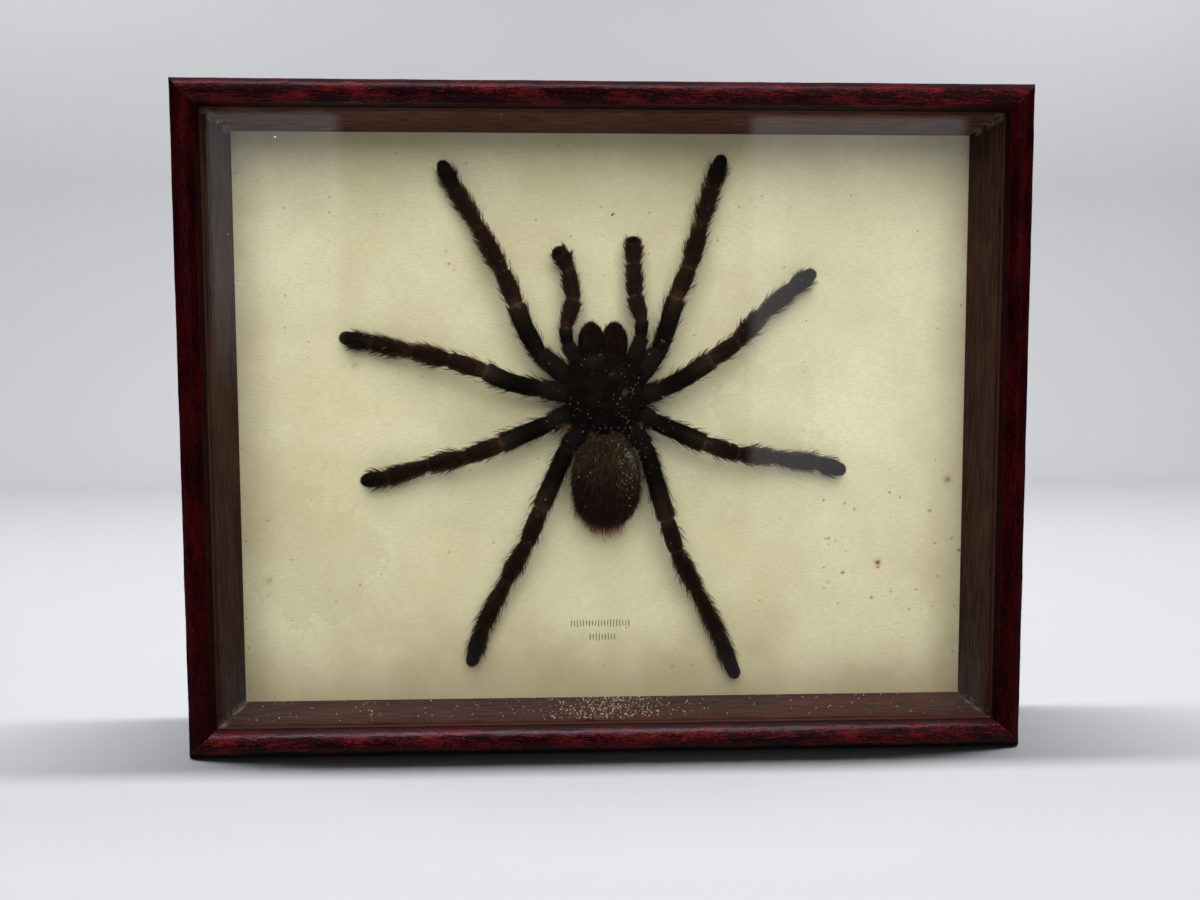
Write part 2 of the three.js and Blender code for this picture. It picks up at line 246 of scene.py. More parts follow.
# Brown of the paper's margins, which at the top and the bottom also carries painted shade
PAPER_BROWNING_AND_SHADE = (0.39, 0.315, 0.18)
DAMP_MARK = (0.42, 0.37, 0.2)
FOXING_DOT = (0.27, 0.12, 0.04)
FOXING_HALO = (0.40, 0.22, 0.08)
FOXING_CORE = (0.13, 0.045, 0.018)
INK = (0.05, 0.045, 0.04)
GLASS = ((0.99, 1.0, 0.992), (0.955, 0.965, 0.955))
BOARD = ((0.085, 0.045, 0.022), (0.23, 0.135, 0.072))
BOARD_PATCH = (0.12, 0.062, 0.03)
BOARD_SCUFF = (0.36, 0.26, 0.17)
ZINC = ((0.55, 0.56, 0.55), (0.30, 0.30, 0.29))
BRASS = ((0.72, 0.50, 0.20), (0.34, 0.23, 0.11))
CUTICLE_GRAIN = (0.05, 0.026, 0.015)
REAR_FUR = (0.016, 0.0075, 0.005)
EYE_BLACK = ((0.004, 0.003, 0.003), (0.03, 0.015, 0.006))
CRUMB = ((0.66, 0.60, 0.48), (0.30, 0.23, 0.16))
DUST = ((0.78, 0.76, 0.70), (0.5, 0.46, 0.40))
DARK_FLECK = ((0.02, 0.014, 0.01), (0.006, 0.004, 0.003))
STUDIO_WHITE = ((0.086, 0.088, 0.092), (0.092, 0.094, 0.0975))
ROOM_COLOUR = (0.93, 0.96, 1.0)
BACKDROP_COLOUR = (0.62, 0.635, 0.67)

# Skin colours along a limb, in segments from its root
LIMB_COLOURS = (
    (0, DARK_CUTICLE),
    (0.9, COXA_BROWN),
    (1.15, OLIVE_BLACK),
    (1.5, OLIVE_BLACK),
    (1.97, FEMUR_OLIVE),
    (2.03, RUST_BROWN),
    (2.9, RUST_BROWN),
    (3.9, RED_BROWN),
    (4.9, RED_BROWN),
    (5.1, DARK_FOOT),
    (6.0, DARK_FOOT),
)


@dataclass
class Coat:
    """A kind of hair: its number on a skin, the weight it follows, and (least, most) of its measures."""

    count: int
    weight: str
    length: tuple
    lift_deg: tuple
    width: tuple
    sway: float
    tone: tuple
    bends: int = 1
    curl: float = 0.0


FUR = "fur_weight"
LONG = "bristle_weight"
LEG_VELVET = Coat(11000, FUR, (0.7, 1.5), (14, 42), (0.10, 0.17), 0.22, (0.4, 1.7))
LEG_BRISTLES = Coat(900, LONG, (2.4, 7.4), (14, 48), (0.21, 0.29), 0.2, (0.5, 2.2), 3, 0.28)
PALP_VELVET = Coat(6000, FUR, (0.7, 1.5), (14, 42), (0.10, 0.17), 0.22, (0.4, 1.7))
PALP_BRISTLES = Coat(430, LONG, (2.4, 5.4), (16, 52), (0.20, 0.28), 0.22, (0.5, 2.2), 3, 0.28)
TRUNK_VELVET = Coat(34000, FUR, (0.6, 1.4), (12, 42), (0.11, 0.18), 0.3, (0.3, 2.2))
TRUNK_BRISTLES = Coat(4200, LONG, (1.2, 2.6), (22, 60), (0.15, 0.23), 0.35, (0.6, 3.2), 3, 0.25)
JAW_VELVET = Coat(6500, FUR, (0.6, 1.4), (12, 36), (0.11, 0.17), 0.12, (0.4, 2.4))
JAW_FRINGE = Coat(280, LONG, (1.1, 2.1), (15, 60), (0.17, 0.25), 0.25, (0.8, 6.0), 3, 0.2)

# Tufts: place [x, height, z], heading [x, out, z], hairs, length, spread and colour
TUFTS = (
    ((-13.6, 6.5, 108.5), (-0.6, 0.5, -0.9), 40, 1.9, 0.5, PALE_HAIR),
    ((-12.6, 8.0, 94.6), (-0.1, 0.4, -1.0), 80, 3.0, 0.7, TAN_HAIR),
    ((-4.0, 9.0, 91.6), (-0.3, 0.6, -0.6), 40, 2.2, 1.1, TAN_HAIR),
    ((1.0, 9.0, 91.6), (0.3, 0.6, -0.6), 40, 2.2, 1.1, TAN_HAIR),
    ((4.9, 11.7, 103.3), (0.5, 0.15, 0.9), 30, 2.0, 0.4, TAN_HAIR),
    ((1.0, 12.3, 109.2), (0.8, 0.15, 0.3), 16, 1.2, 0.35, TAN_HAIR),
    ((9.8, 9.6, 94.2), (0.4, 0.3, -0.5), 20, 1.5, 0.5, TAN_HAIR),
    # Painted highlight: pink hairs on the eye mound stand in for its glint
    ((-1.9, 12.1, 115.0), (0.2, 0.8, 0.3), 12, 0.7, 0.4, PAINTED_EYE_GLINT),
    ((-8.6, 7.5, 89.4), (0.5, 0.2, -1.0), 90, 2.6, 0.9, COXA_BROWN),
    ((8.4, 7.5, 89.4), (-0.5, 0.2, -1.0), 90, 2.6, 0.9, COXA_BROWN),
)
TUFT_SPLAY = 0.35
TUFT_WIDTH = 0.16
TUFT_BENDS = 3
TUFT_CURL = 0.12

# The rust fringe round the abdomen's end: its turns [from, to, step], height, share of the abdomen's
# half sizes, and each tuft's hairs, length, spread, splay and width
FRINGE_TURNS_DEG = (205, 300, 2.5)
FRINGE_HEIGHT = 6.0
FRINGE_ROUND = (0.9, 0.93)
FRINGE_TUFT = (18, 4.8, 0.7, 0.22, 0.19)

# The paper's browned margins, with painted shade added at the top and the bottom: reach from each side, from
# the top and from the bottom, and strength
SIDE_MARGIN = (22, 0.36)
TOP_MARGIN_AND_SHADE = (24, 0.28)
BOTTOM_MARGIN_AND_SHADE = (36, 0.8)

# Foxing spots on the paper: x, z, radius and strength
SPOTS = (
    (86.7, 49.6, 1.0, 0.8), (86.7, 48.1, 0.45, 0.7), (75.5, 46.5, 0.5, 0.8), (84.9, 38.3, 0.45, 0.75),
    (108.8, 76.1, 1.2, 0.55), (103.2, 66.2, 0.6, 0.65), (112.9, 53.3, 0.5, 0.95), (69.1, 69.7, 0.35, 0.6),
    (75.8, 68.7, 0.45, 0.6), (79.0, 66.7, 0.4, 0.55), (90.2, 72.1, 0.4, 0.6), (93.5, 70.5, 0.35, 0.5),
    (70.8, 57.5, 0.45, 0.6), (73.1, 56.8, 0.3, 0.55), (70.8, 55.6, 0.3, 0.5), (69.3, 48.2, 0.35, 0.5),
    (70.7, 43.3, 0.35, 0.5), (91.1, 40.2, 0.4, 0.5), (97.0, 34.3, 0.35, 0.5), (105.0, 55.6, 0.4, 0.55),
    (110.5, 57.2, 0.4, 0.55), (106.2, 44.9, 0.4, 0.5), (74.0, 36.5, 0.35, 0.45), (99.2, 40.8, 0.35, 0.45),
    (-1.3, 161.2, 0.35, 0.45), (-10.6, 152.0, 0.35, 0.4), (-48.2, 143.7, 0.35, 0.6), (-46.7, 141.8, 0.3, 0.5),
    (-49.1, 147.3, 0.4, 0.35), (-70.0, 158.5, 0.3, 0.35), (-105.3, 45.7, 1.4, 0.25), (-77.6, 112.7, 1.3, 0.2),
)

# Faint old damp marks on the paper: place [x, z] and radius
STAINS = (((50, 97), 17), ((-92, 52), 21))
STAIN_STRENGTH = 0.19
STAIN_EDGE = 1.2
DOT_SPACING = 7

# Where a label's two rows would be: plain upright ticks, which spell nothing
PRINT_ROWS = (((-1.6, 31.0), 9.6), ((-1.4, 26.6), 4.4))
TICK_PITCH = 0.96
TICK_WIDTH = 0.3
TICK_HEIGHTS = (0.8, 1.25)

# Crumbs on the lower ledge: how many, the heap's middle and width, how far the loose ones lie, the
# ledge's end and their sizes
CRUMBS = 760
CRUMB_HEAP = (-1.0, 20.0)
CRUMB_SIZES = (0.12, 0.55)
CRUMB_REACH = 108
LEDGE_END = 112

# Dust in the fur: specks on the trunk and on each leg, and the square roots of their sizes
TRUNK_DUST = 500
LEG_DUST = 30
DUST_SIZE_ROOTS = (0.30, 0.61)
# Where it lies thicker: a drift at x and z, and a band across the back at z, each with its reach
DUST_DRIFT = ((8, 3.5), (85, 7))
DUST_BAND = (97, 4)

# Specks on the pane and dark flecks on the paper: x, z and size
PANE_SPECKS = ((-93.1, 175.4, 0.75), (-108.7, 179.4, 0.5), (-106.8, 148.6, 0.4), (-30.0, 182.0, 0.3))
PAPER_FLECKS = ((2.3, 158.6, 1.0), (2.7, 159.1, 0.6), (-14.0, 16.0, 0.35), (64.0, 150.5, 0.3))

# The studio's floor, which curves up into a wall
SWEEP_HALF_WIDTH = 2200
SWEEP_FRONT = -2200
SWEEP_BACK = 750
SWEEP_RADIUS = 450
SWEEP_TOP = 1600
SWEEP_STEPS = 24

# What the pane mirrors from behind the camera: two pale doorways and how bright they and the rest
# of the room are. Each doorway has its edges as x over distance, the height over distance where it
# fades in, over how much, and its glow.
DOORWAYS = (
    ((-0.46, -0.25), -0.02, 0.16, 0.48),
    ((0.201, 0.437), -0.22, 0.1, 0.55),
)
DOORWAY_BLUR = 0.008
ROOM_GLOW = 0.009
CEILING_FROM = 0.55
CEILING_GLOW = 0.22
TABLE_FROM = -0.25
TABLE_GLOW = 0.14

# Lamps: place, target, size and watts
FOOT = (0, 0, 0)
MIDDLE = (0, 0, FRAME_HEIGHT / 2)
LAMPS = {
    "key": ((-100, -400, 955), MIDDLE, (900, 70), 2),
    "front": ((0, -820, 610), MIDDLE, (1000, 760), 10.2),
    "overhead": ((0, 60, 1150), FOOT, (900, 50), 56),
    "floor_light": ((0, 38, 1150), FOOT, (900, 50), 108),
    "floor_ahead": ((0, -620, 900), (0, -1150, 0), (2600, 300), 75),
}
GLINT = ((40, -190, 1040), FOOT, (1000, 45), 4.2)
FLOOR_AHEAD_SPREAD_DEG = 100
# The pair of lamps on the wall: how far aside, place and target [y, z], size and watts
WASH_ASIDE = 1000
WASH_PLACE = (250, 1300)
WASH_TARGET = (1150, 700)
WASH_SIZE = (900, 500)
WASH_WATTS = 91


# ---- small maths


def unit(vectors):
    """Vectors of length 1."""
    return vectors / np.maximum(np.linalg.norm(vectors, axis=-1, keepdims=True), 1e-9)


def smoothed(values, sigma):
    """Gaussian smoothing along the first axis, with both ends extended straight."""
    reach = int(3 * sigma) + 1
    kernel = np.exp(-0.5 * (np.arange(-reach, reach + 1) / sigma) ** 2)
    kernel /= kernel.sum()
    before = 2 * values[:1] - values[reach:0:-1]
    after = 2 * values[-1:] - values[-2 : -reach - 2 : -1]
    padded = np.concatenate([before, values, after])
    columns = padded.reshape(len(padded), -1).T
    kept = [np.convolve(column, kernel, mode="valid") for column in columns]
    return np.stack(kept, axis=1).reshape(values.shape)


def ripple(points, wavelength, seed, waves=7):
    """Smooth noise from -1 to 1: a sum of sine waves in seeded directions."""
    rng = np.random.default_rng(seed)
    total = np.zeros(len(points))
    for _ in range(waves):
        direction = unit(rng.normal(size=3))
        pace = 2 * np.pi / (wavelength * rng.uniform(0.7, 1.4))
        total += np.sin(points @ direction * pace + rng.uniform(0, 2 * np.pi))
    return total / waves


def relief(points, waves, seed):
    """Sum of ripples, one for each (depth, wavelength) in waves."""
    return sum(depth * ripple(points, length, seed + i) for i, (depth, length) in enumerate(waves))


def blend(a, b, share):
    """Colours from a to b, a row for each share."""
    share = np.clip(np.asarray(share), 0, 1)[:, None]
    return np.asarray(a) * (1 - share) + np.asarray(b) * share


# ---- meshes


def add_mesh(name, points, faces, materials, smooth=True):
    """A mesh object. Points are in millimetres; faces is a list of index arrays."""
    mesh = bpy.data.meshes.new(name)
    groups = [np.asarray(group, np.int32) for group in faces if len(group)]
    corners = np.concatenate([group.ravel() for group in groups])
    sizes = np.concatenate([np.full(len(group), group.shape[1]) for group in groups])
    mesh.vertices.add(len(points))
    mesh.vertices.foreach_set("co", (np.asarray(points, float) * MM).ravel())
    mesh.loops.add(len(corners))
    mesh.loops.foreach_set("vertex_index", corners)
    mesh.polygons.add(len(sizes))
    mesh.polygons.foreach_set("loop_start", np.concatenate([[0], np.cumsum(sizes)[:-1]]))
    mesh.polygons.foreach_set("use_smooth", np.full(len(sizes), smooth))
    mesh.update(calc_edges=True)
    for material in materials:
        mesh.materials.append(material)
    piece = bpy.data.objects.new(name, mesh)
    bpy.context.scene.collection.objects.link(piece)
    return piece


def paint_points(piece, colours):
    """Stores a colour for each point, which the materials read as 'tint'."""
    layer = piece.data.color_attributes.new("tint", "FLOAT_COLOR", "POINT")
    rows = np.ones((len(colours), 4), np.float32)
    rows[:, :3] = colours
    layer.data.foreach_set("color", rows.ravel())


def vertex_normals(points, triangles):
    """Unit normals of the points, from the triangles round each."""
    a, b, c = (points[triangles[:, i]] for i in range(3))
    flat = np.cross(b - a, c - a)
    normals = np.zeros_like(points)
    for i in range(3):
        np.add.at(normals, triangles[:, i], flat)
    return unit(normals)


def tube_faces(rings, sides):
    """Quads between neighbouring rings, and a fan at each end to a point before and after them."""
    ring = np.arange(rings * sides).reshape(rings, sides)
    turned = np.roll(ring, -1, axis=1)
    quads = np.stack([ring[:-1], turned[:-1], turned[1:], ring[1:]], axis=-1).reshape(-1, 4)
    first = np.full(sides, rings * sides)
    fans = np.concatenate(
        [
            np.stack([turned[0], ring[0], first], axis=-1),
            np.stack([ring[-1], turned[-1], first + 1], axis=-1),
        ]
    )
    return quads, fans


def triangles_of(quads, fans):
    return np.concatenate([quads[:, [0, 1, 2]], quads[:, [0, 2, 3]], fans])


def joined(shapes):
    """Several shapes of points, quads and fans as one."""
    points, quads, fans = zip(*shapes)
    starts = np.cumsum([0] + [len(some) for some in points[:-1]])
    return (
        np.vstack(points),
        np.vstack([faces + start for faces, start in zip(quads, starts)]),
        np.vstack([faces + start for faces, start in zip(fans, starts)]),
    )


# ---- materials


class Nodes:
    """A node tree. Most calls add a node and give back its output."""

    def __init__(self, tree):
        self.tree = tree

    def node(self, kind, inputs=None, **settings):
        made = self.tree.nodes.new(kind)
        for name, value in settings.items():
            setattr(made, name, value)
        for name, value in (inputs or {}).items():
            self.feed(made.inputs[name], value)
        return made

    def feed(self, socket, value):
        """Links an output to a socket, or sets the socket's own value."""
        if isinstance(value, bpy.types.NodeSocket):
            self.tree.links.new(value, socket)
        elif isinstance(value, tuple) and len(value) == 3 and socket.type == "RGBA":
            socket.default_value = (*value, 1)
        else:
            socket.default_value = value

    def maths(self, operation, a, b=0.0):
        return self.node("ShaderNodeMath", {0: a, 1: b}, operation=operation).outputs[0]

    def plus(self, a, b):
        return self.maths("ADD", a, b)

    def minus(self, a, b):
        return self.maths("SUBTRACT", a, b)

    def times(self, a, b):
        return self.maths("MULTIPLY", a, b)

    def below(self, value, limit):
        """1 where value is less than limit."""
        return self.maths("LESS_THAN", value, limit)

    def spread(self, value, low, high, to_low=0.0, to_high=1.0):
        """value from low..high, smoothly, to to_low..to_high."""
        inputs = {"Value": value, "From Min": low, "From Max": high, "To Min": to_low, "To Max": to_high}
        return self.node("ShaderNodeMapRange", inputs, interpolation_type="SMOOTHSTEP").outputs[0]


class Paint(Nodes):
    """A material's node tree, with the textures and the shader."""

    def __init__(self, name):
        self.material = bpy.data.materials.new(name)
        self.material.use_nodes = True
        super().__init__(self.material.node_tree)
        self.shader = self.tree.nodes["Principled BSDF"]

    def set(self, **values):
        """Feeds the shader's own sockets, named with underscores for spaces."""
        for name, value in values.items():
            self.feed(self.shader.inputs[name.replace("_", " ")], value)

    def place(self, scale=(1, 1, 1)):
        """The point's place in millimetres, in the row frame, stretched by scale."""
        coordinates = self.node("ShaderNodeTexCoord").outputs["Object"]
        in_mm = tuple(factor / MM for factor in scale)
        return self.node("ShaderNodeMapping", {"Vector": coordinates, "Scale": in_mm}).outputs[0]

    def noise(self, vector, size, detail=4.0, roughness=0.55, distortion=0.0):
        inputs = {"Vector": vector, "Scale": 1 / size, "Detail": detail}
        inputs |= {"Roughness": roughness, "Distortion": distortion}
        return self.node("ShaderNodeTexNoise", inputs).outputs["Fac"]

    def flat_cells(self, across, up, size):
        """Distance from the nearest of scattered middles, in cells, and a random colour for each."""
        vector = self.node("ShaderNodeCombineXYZ", {"X": across, "Y": up}).outputs[0]
        inputs = {"Vector": vector, "Scale": 1 / size}
        made = self.node("ShaderNodeTexVoronoi", inputs, voronoi_dimensions="2D")
        return made.outputs["Distance"], made.outputs["Color"]

    def mix(self, share, a, b):
        return self.node("ShaderNodeMix", {0: share, 6: a, 7: b}, data_type="RGBA").outputs[2]

    def bump(self, height, distance, under=None):
        """Relief whose height of 1 is this many millimetres."""
        inputs = {"Height": height, "Distance": distance * MM}
        if under is not None:
            inputs["Normal"] = under
        return self.node("ShaderNodeBump", inputs).outputs[0]

    def axes(self):
        """The point's x, y and z in millimetres."""
        return self.node("ShaderNodeSeparateXYZ", {"Vector": self.place()}).outputs

    def tint(self):
        """The colour stored with the points."""
        return self.node("ShaderNodeVertexColor", layer_name="tint").outputs["Color"]

    def away_from(self, x, z, place):
        """Distance on the card from place [x, z]."""
        across = self.maths("POWER", self.minus(x, place[0]), 2)
        up = self.maths("POWER", self.minus(z, place[1]), 2)
        return self.maths("SQRT", self.plus(across, up))


def from_outer_faces(paint):
    """Distances inwards from the nearer outer side, and from the nearer outer end."""
    x, _, z = paint.axes()
    from_side = paint.minus(FRAME_WIDTH / 2, paint.maths("ABSOLUTE", x))
    from_end = paint.maths("MINIMUM", z, paint.minus(FRAME_HEIGHT, z))
    return from_side, from_end


def mitre_line(paint):
    """1 on a hairline along the four mitres, where the lacquer has cracked."""
    from_side, from_end = from_outer_faces(paint)
    broken = paint.noise(paint.place(), 1.4, detail=2)
    reach = paint.spread(broken, 0.45, 0.7, 0.05, 0.2)
    return paint.below(paint.maths("ABSOLUTE", paint.minus(from_side, from_end)), reach)


def lacquered_wood(name, finish):
    """Mahogany lacquer: fine red streaks in black, the red fading to black towards both edges of the bead as
    painted shade.
    """
    paint = Paint(name)

    def grain(power, size, detail, roughness):
        stretch = tuple(value**power for value in finish.grain)
        return paint.noise(paint.place(stretch), size, detail, roughness)

    zones = grain(1, 4.5, 3, 0.6)
    flecks = grain(0.7, 0.36, 3, 0.7)
    threads = grain(1.9, 0.36, 4, 0.6)
    strokes = grain(-0.6, 0.24, 3, 0.65)
    tone = 0.0
    for pattern, weight in ((zones, 0.32), (flecks, 0.24), (threads, 0.32), (strokes, 0.12)):
        tone = paint.plus(tone, paint.times(pattern, weight))
    # Painted shade: the red fades to black at the bead's outer and inner edges
    inwards = paint.maths("MINIMUM", *from_outer_faces(paint))
    outer_edge_shade = paint.spread(inwards, *finish.outer_shade_fade)
    inner_edge_shade = paint.spread(inwards, 7.25, 6.8)
    lit_crown = paint.times(outer_edge_shade, inner_edge_shade)
    share = paint.spread(lit_crown, 0, 1, 0.25 * finish.lit_red_share, finish.lit_red_share)
    red = paint.times(paint.spread(tone, *finish.red_from), share)
    colour = paint.mix(red, LACQUER_BLACK, LACQUER_RED)
    bright = paint.times(paint.spread(flecks, 0.58, 0.74), red)
    colour = paint.mix(bright, colour, LACQUER_BRIGHT)
    colour = paint.mix(mitre_line(paint), colour, LACQUER_CRACK)
    gloss = paint.spread(zones, 0.35, 0.7, 0.17, 0.3)
    roughness = paint.plus(gloss, paint.spread(inwards, 6.6, 7.2, 0, 0.5))
    paint.set(Base_Color=colour, Roughness=roughness)
    relief = paint.bump(flecks, 0.06, under=paint.bump(zones, 0.32))
    paint.set(Normal=paint.bump(threads, 0.05, under=relief))
    paint.set(Specular_IOR_Level=finish.shine, Specular_Tint=finish.shine_tint, IOR=1.5)
    return paint.material


def bare_wood(name, finish):
    """Dark straight-grained wood of the inner walls, dull, with old glue near the corners, a painted
    brightness for each rail's wall and a painted shade line in the quirk.
    """
    paint = Paint(name)
    lines = paint.noise(paint.place(tuple(v**2 for v in finish.grain)), 0.8, detail=6, roughness=0.65)
    broad = paint.noise(paint.place(finish.grain), 9, detail=3)
    # Painted light: the wall wood is made lighter or darker for each rail, lightest on the top rail's
    # downward-facing wall
    dark, light = (tuple(finish.painted_wall_light * value for value in wood) for wood in WALL_WOOD)
    colour = paint.mix(paint.spread(lines, 0.3, 0.7), dark, light)
    colour = paint.mix(paint.spread(broad, 0.4, 0.7, 0, 0.5), colour, WALL_PATCH)
    from_corner = paint.maths("MAXIMUM", *from_outer_faces(paint))
    smear = paint.noise(paint.place(), 3.5, detail=5, roughness=0.6)
    depth = paint.axes()[1]
    glue = paint.times(paint.spread(from_corner, 9.5, 8.0), paint.spread(smear, 0.45, 0.6))
    indoors = paint.below(depth, FRONT + RABBET_FROM)
    colour = paint.mix(paint.times(glue, paint.times(indoors, 0.6)), colour, OLD_GLUE)
    # The lip's own red stain runs to GROOVE_FROM; the near-black band to QUIRK_SHADE is painted shade in the
    # quirk
    for reach, strength, shade in ((GROOVE_FROM, 0.8, LIP_RED), (QUIRK_SHADE, 0.93, QUIRK_PAINTED_SHADE)):
        in_front = paint.below(depth, FRONT + reach)
        colour = paint.mix(paint.times(in_front, strength), colour, shade)
    paint.set(Base_Color=colour, Roughness=paint.spread(lines, 0.3, 0.7, 0.85, 0.6))
    paint.set(Normal=paint.bump(lines, 0.12), Specular_IOR_Level=0.12)
    return paint.material


def cream_paper():
    """Aged cream paper: clouds, fibres, browned margins with painted shade at the top and the bottom, damp
    marks, foxing and the print.
    """
    paint = Paint("cream_paper")
    x, _, z = paint.axes()
    clouds = paint.noise(paint.place(), 38, detail=5, roughness=0.6)
    colour = paint.mix(paint.spread(clouds, 0.3, 0.7), *PAPER)
    fibres = paint.noise(paint.place((0.35, 1, 1.6)), 0.7, detail=5, roughness=0.7)
    colour = paint.mix(paint.spread(fibres, 0.35, 0.75, 0, 0.36), colour, PAPER_FIBRE)
    colour = browned_and_shaded_margins(paint, colour, clouds, z)
    colour = damp_marks(paint, colour, x, z)
    colour = foxing(paint, colour, x, z)
    colour = paint.mix(print_rows(paint, x, z), colour, INK)
    paint.set(Base_Color=colour, Roughness=paint.spread(fibres, 0.3, 0.8, 0.82, 0.95))
    paint.set(Normal=paint.bump(fibres, 0.05, under=paint.bump(clouds, 0.5)), IOR=1.4)
    return paint.material


def browned_and_shaded_margins(paint, colour, clouds, z):
    """Darkens the paper towards its edges, unevenly: browning at the sides, browning and painted shade at the
    top and the bottom.
    """
    from_side, _ = from_outer_faces(paint)
    from_top = paint.minus(FRAME_HEIGHT, z)
    # At the top and the bottom this darkening is partly painted shade
    for distance, margin in ((from_side, SIDE_MARGIN), (from_top, TOP_MARGIN_AND_SHADE), (z, BOTTOM_MARGIN_AND_SHADE)):
        reach, strength = margin
        uneven = paint.plus(distance, paint.spread(clouds, 0.2, 0.8, -7, 7))
        colour = paint.mix(paint.spread(uneven, reach, 4, 0, strength), colour, PAPER_BROWNING_AND_SHADE)
    return colour


def damp_marks(paint, colour, x, z):
    """Faint marks with ragged edges."""
    ragged = paint.spread(paint.noise(paint.place(), 11, detail=4), 0.3, 0.7, -6, 6)
    for stain, radius in STAINS:
        away = paint.plus(paint.away_from(x, z, stain), ragged)
        share = paint.spread(away, radius, radius - STAIN_EDGE, 0, STAIN_STRENGTH)
        colour = paint.mix(share, colour, DAMP_MARK)
    return colour


def foxing(paint, colour, x, z):
    """Small random dots, and the larger spots in their own places."""
    away, lot = paint.flat_cells(x, z, DOT_SPACING)
    chosen = paint.node("ShaderNodeSeparateColor", {"Color": lot}).outputs[0]
    dots = paint.times(paint.spread(away, 0.065, 0.02), paint.spread(chosen, 0.78, 1.0))
    colour = paint.mix(paint.times(dots, 0.8), colour, FOXING_DOT)
    wobble = paint.spread(paint.noise(paint.place(), 0.6, detail=2), 0.2, 0.8, 0.7, 1.4)
    for *spot, radius, strength in SPOTS:
        away = paint.times(paint.away_from(x, z, spot), wobble)
        halo = paint.spread(away, radius * 2.3, radius * 0.4, 0, strength * 0.7)
        core = paint.spread(away, radius * 1.05, radius * 0.4, 0, strength)
        colour = paint.mix(halo, colour, FOXING_HALO)
        colour = paint.mix(core, colour, FOXING_CORE)
    return colour


def print_rows(paint, x, z):
    """1 on two centred rows of plain printed ticks."""
    total = 0.0
    tall = paint.spread(paint.noise(paint.place((1, 0, 0)), 0.8, detail=1), 0.45, 0.55, *TICK_HEIGHTS)
    for (middle, height), half_width in PRINT_ROWS:
        from_middle = paint.minus(x, middle)
        inside = paint.below(paint.maths("ABSOLUTE", from_middle), half_width)
        level = paint.maths("ABSOLUTE", paint.minus(z, height))
        inside = paint.times(inside, paint.below(level, tall))
        step = paint.maths("FLOORED_MODULO", from_middle, TICK_PITCH)
        total = paint.plus(total, paint.times(inside, paint.below(step, TICK_WIDTH)))
    ink = paint.spread(paint.noise(paint.place(), 0.25, detail=2), 0.3, 0.6, 0.55, 0.95)
    return paint.times(total, ink)


def clear_glass():
    """Clear picture glass with faint smears."""
    paint = Paint("clear_glass")
    smears = paint.noise(paint.place((1, 1, 0.4)), 26, detail=4, roughness=0.6)
    tone = paint.mix(paint.spread(smears, 0.45, 0.8), *GLASS)
    paint.set(Base_Color=tone, Transmission_Weight=1.0, Roughness=0.0, IOR=1.5)
    return paint.material


def hardboard():
    """Brown pressed board with short fibres and a few scuffs."""
    paint = Paint("hardboard")
    fibres = paint.noise(paint.place((1.5, 1, 0.45)), 0.7, detail=7, roughness=0.75)
    clouds = paint.noise(paint.place(), 30, detail=4)
    colour = paint.mix(paint.spread(fibres, 0.3, 0.7), *BOARD)
    colour = paint.mix(paint.spread(clouds, 0.35, 0.75, 0, 0.4), colour, BOARD_PATCH)
    scuffs = paint.noise(paint.place((0.2, 1, 2.5)), 3, detail=6, roughness=0.75, distortion=1)
    colour = paint.mix(paint.spread(scuffs, 0.66, 0.76, 0, 0.35), colour, BOARD_SCUFF)
    paint.set(Base_Color=colour, Roughness=paint.spread(fibres, 0.3, 0.7, 0.9, 0.68))
    paint.set(Normal=paint.bump(fibres, 0.12), IOR=1.45)
    return paint.material


def worn_metal(name, bright, dull, grain):
    """Plated steel: fine rolling lines, dull patches and finger marks."""
    paint = Paint(name)
    lines = paint.noise(paint.place(grain), 0.35, detail=4)
    patches = paint.noise(paint.place(), 2.8, detail=6, roughness=0.7)
    worn = paint.spread(patches, 0.45, 0.68)
    paint.set(Base_Color=paint.mix(worn, bright, dull), Metallic=0.45)
    gloss = paint.spread(lines, 0.3, 0.7, 0.3, 0.45)
    paint.set(Roughness=paint.plus(gloss, paint.times(worn, 0.2)), Normal=paint.bump(lines, 0.015))
    return paint.material


def dry_cuticle():
    """Dull, finely wrinkled skin, coloured by its points."""
    paint = Paint("dry_cuticle")
    place = paint.place()
    grain = paint.noise(place, 0.5, detail=6, roughness=0.7)
    patches = paint.noise(place, 3.5, detail=4, roughness=0.6)
    colour = paint.mix(paint.spread(patches, 0.4, 0.7, 0, 0.6), paint.tint(), DARK_CUTICLE)
    colour = paint.mix(paint.spread(grain, 0.6, 0.85, 0, 0.3), colour, CUTICLE_GRAIN)
    paint.set(Base_Color=colour, Roughness=paint.spread(grain, 0.3, 0.7, 0.42, 0.7))
    paint.set(Normal=paint.bump(grain, 0.09), Specular_IOR_Level=0.12)
    return paint.material


def fur(name, roughness):
    """Hairs coloured by their points, a little uneven along each."""
    paint = Paint(name)
    uneven = paint.noise(paint.place(), 0.8, detail=3)
    colour = paint.mix(paint.spread(uneven, 0.3, 0.7, 0.35, 0.0), paint.tint(), DARK_CUTICLE)
    paint.set(Base_Color=colour, Roughness=paint.spread(uneven, 0.3, 0.7, roughness, roughness + 0.15))
    paint.set(Specular_IOR_Level=0.07)
    return paint.material


def eye_gloss():
    """Dark, glossy little eyes."""
    paint = Paint("eye_gloss")
    depth = paint.noise(paint.place(), 0.3, detail=2)
    paint.set(Base_Color=paint.mix(depth, *EYE_BLACK))
    paint.set(Roughness=0.08, Coat_Weight=1.0, Coat_Roughness=0.03)
    return paint.material


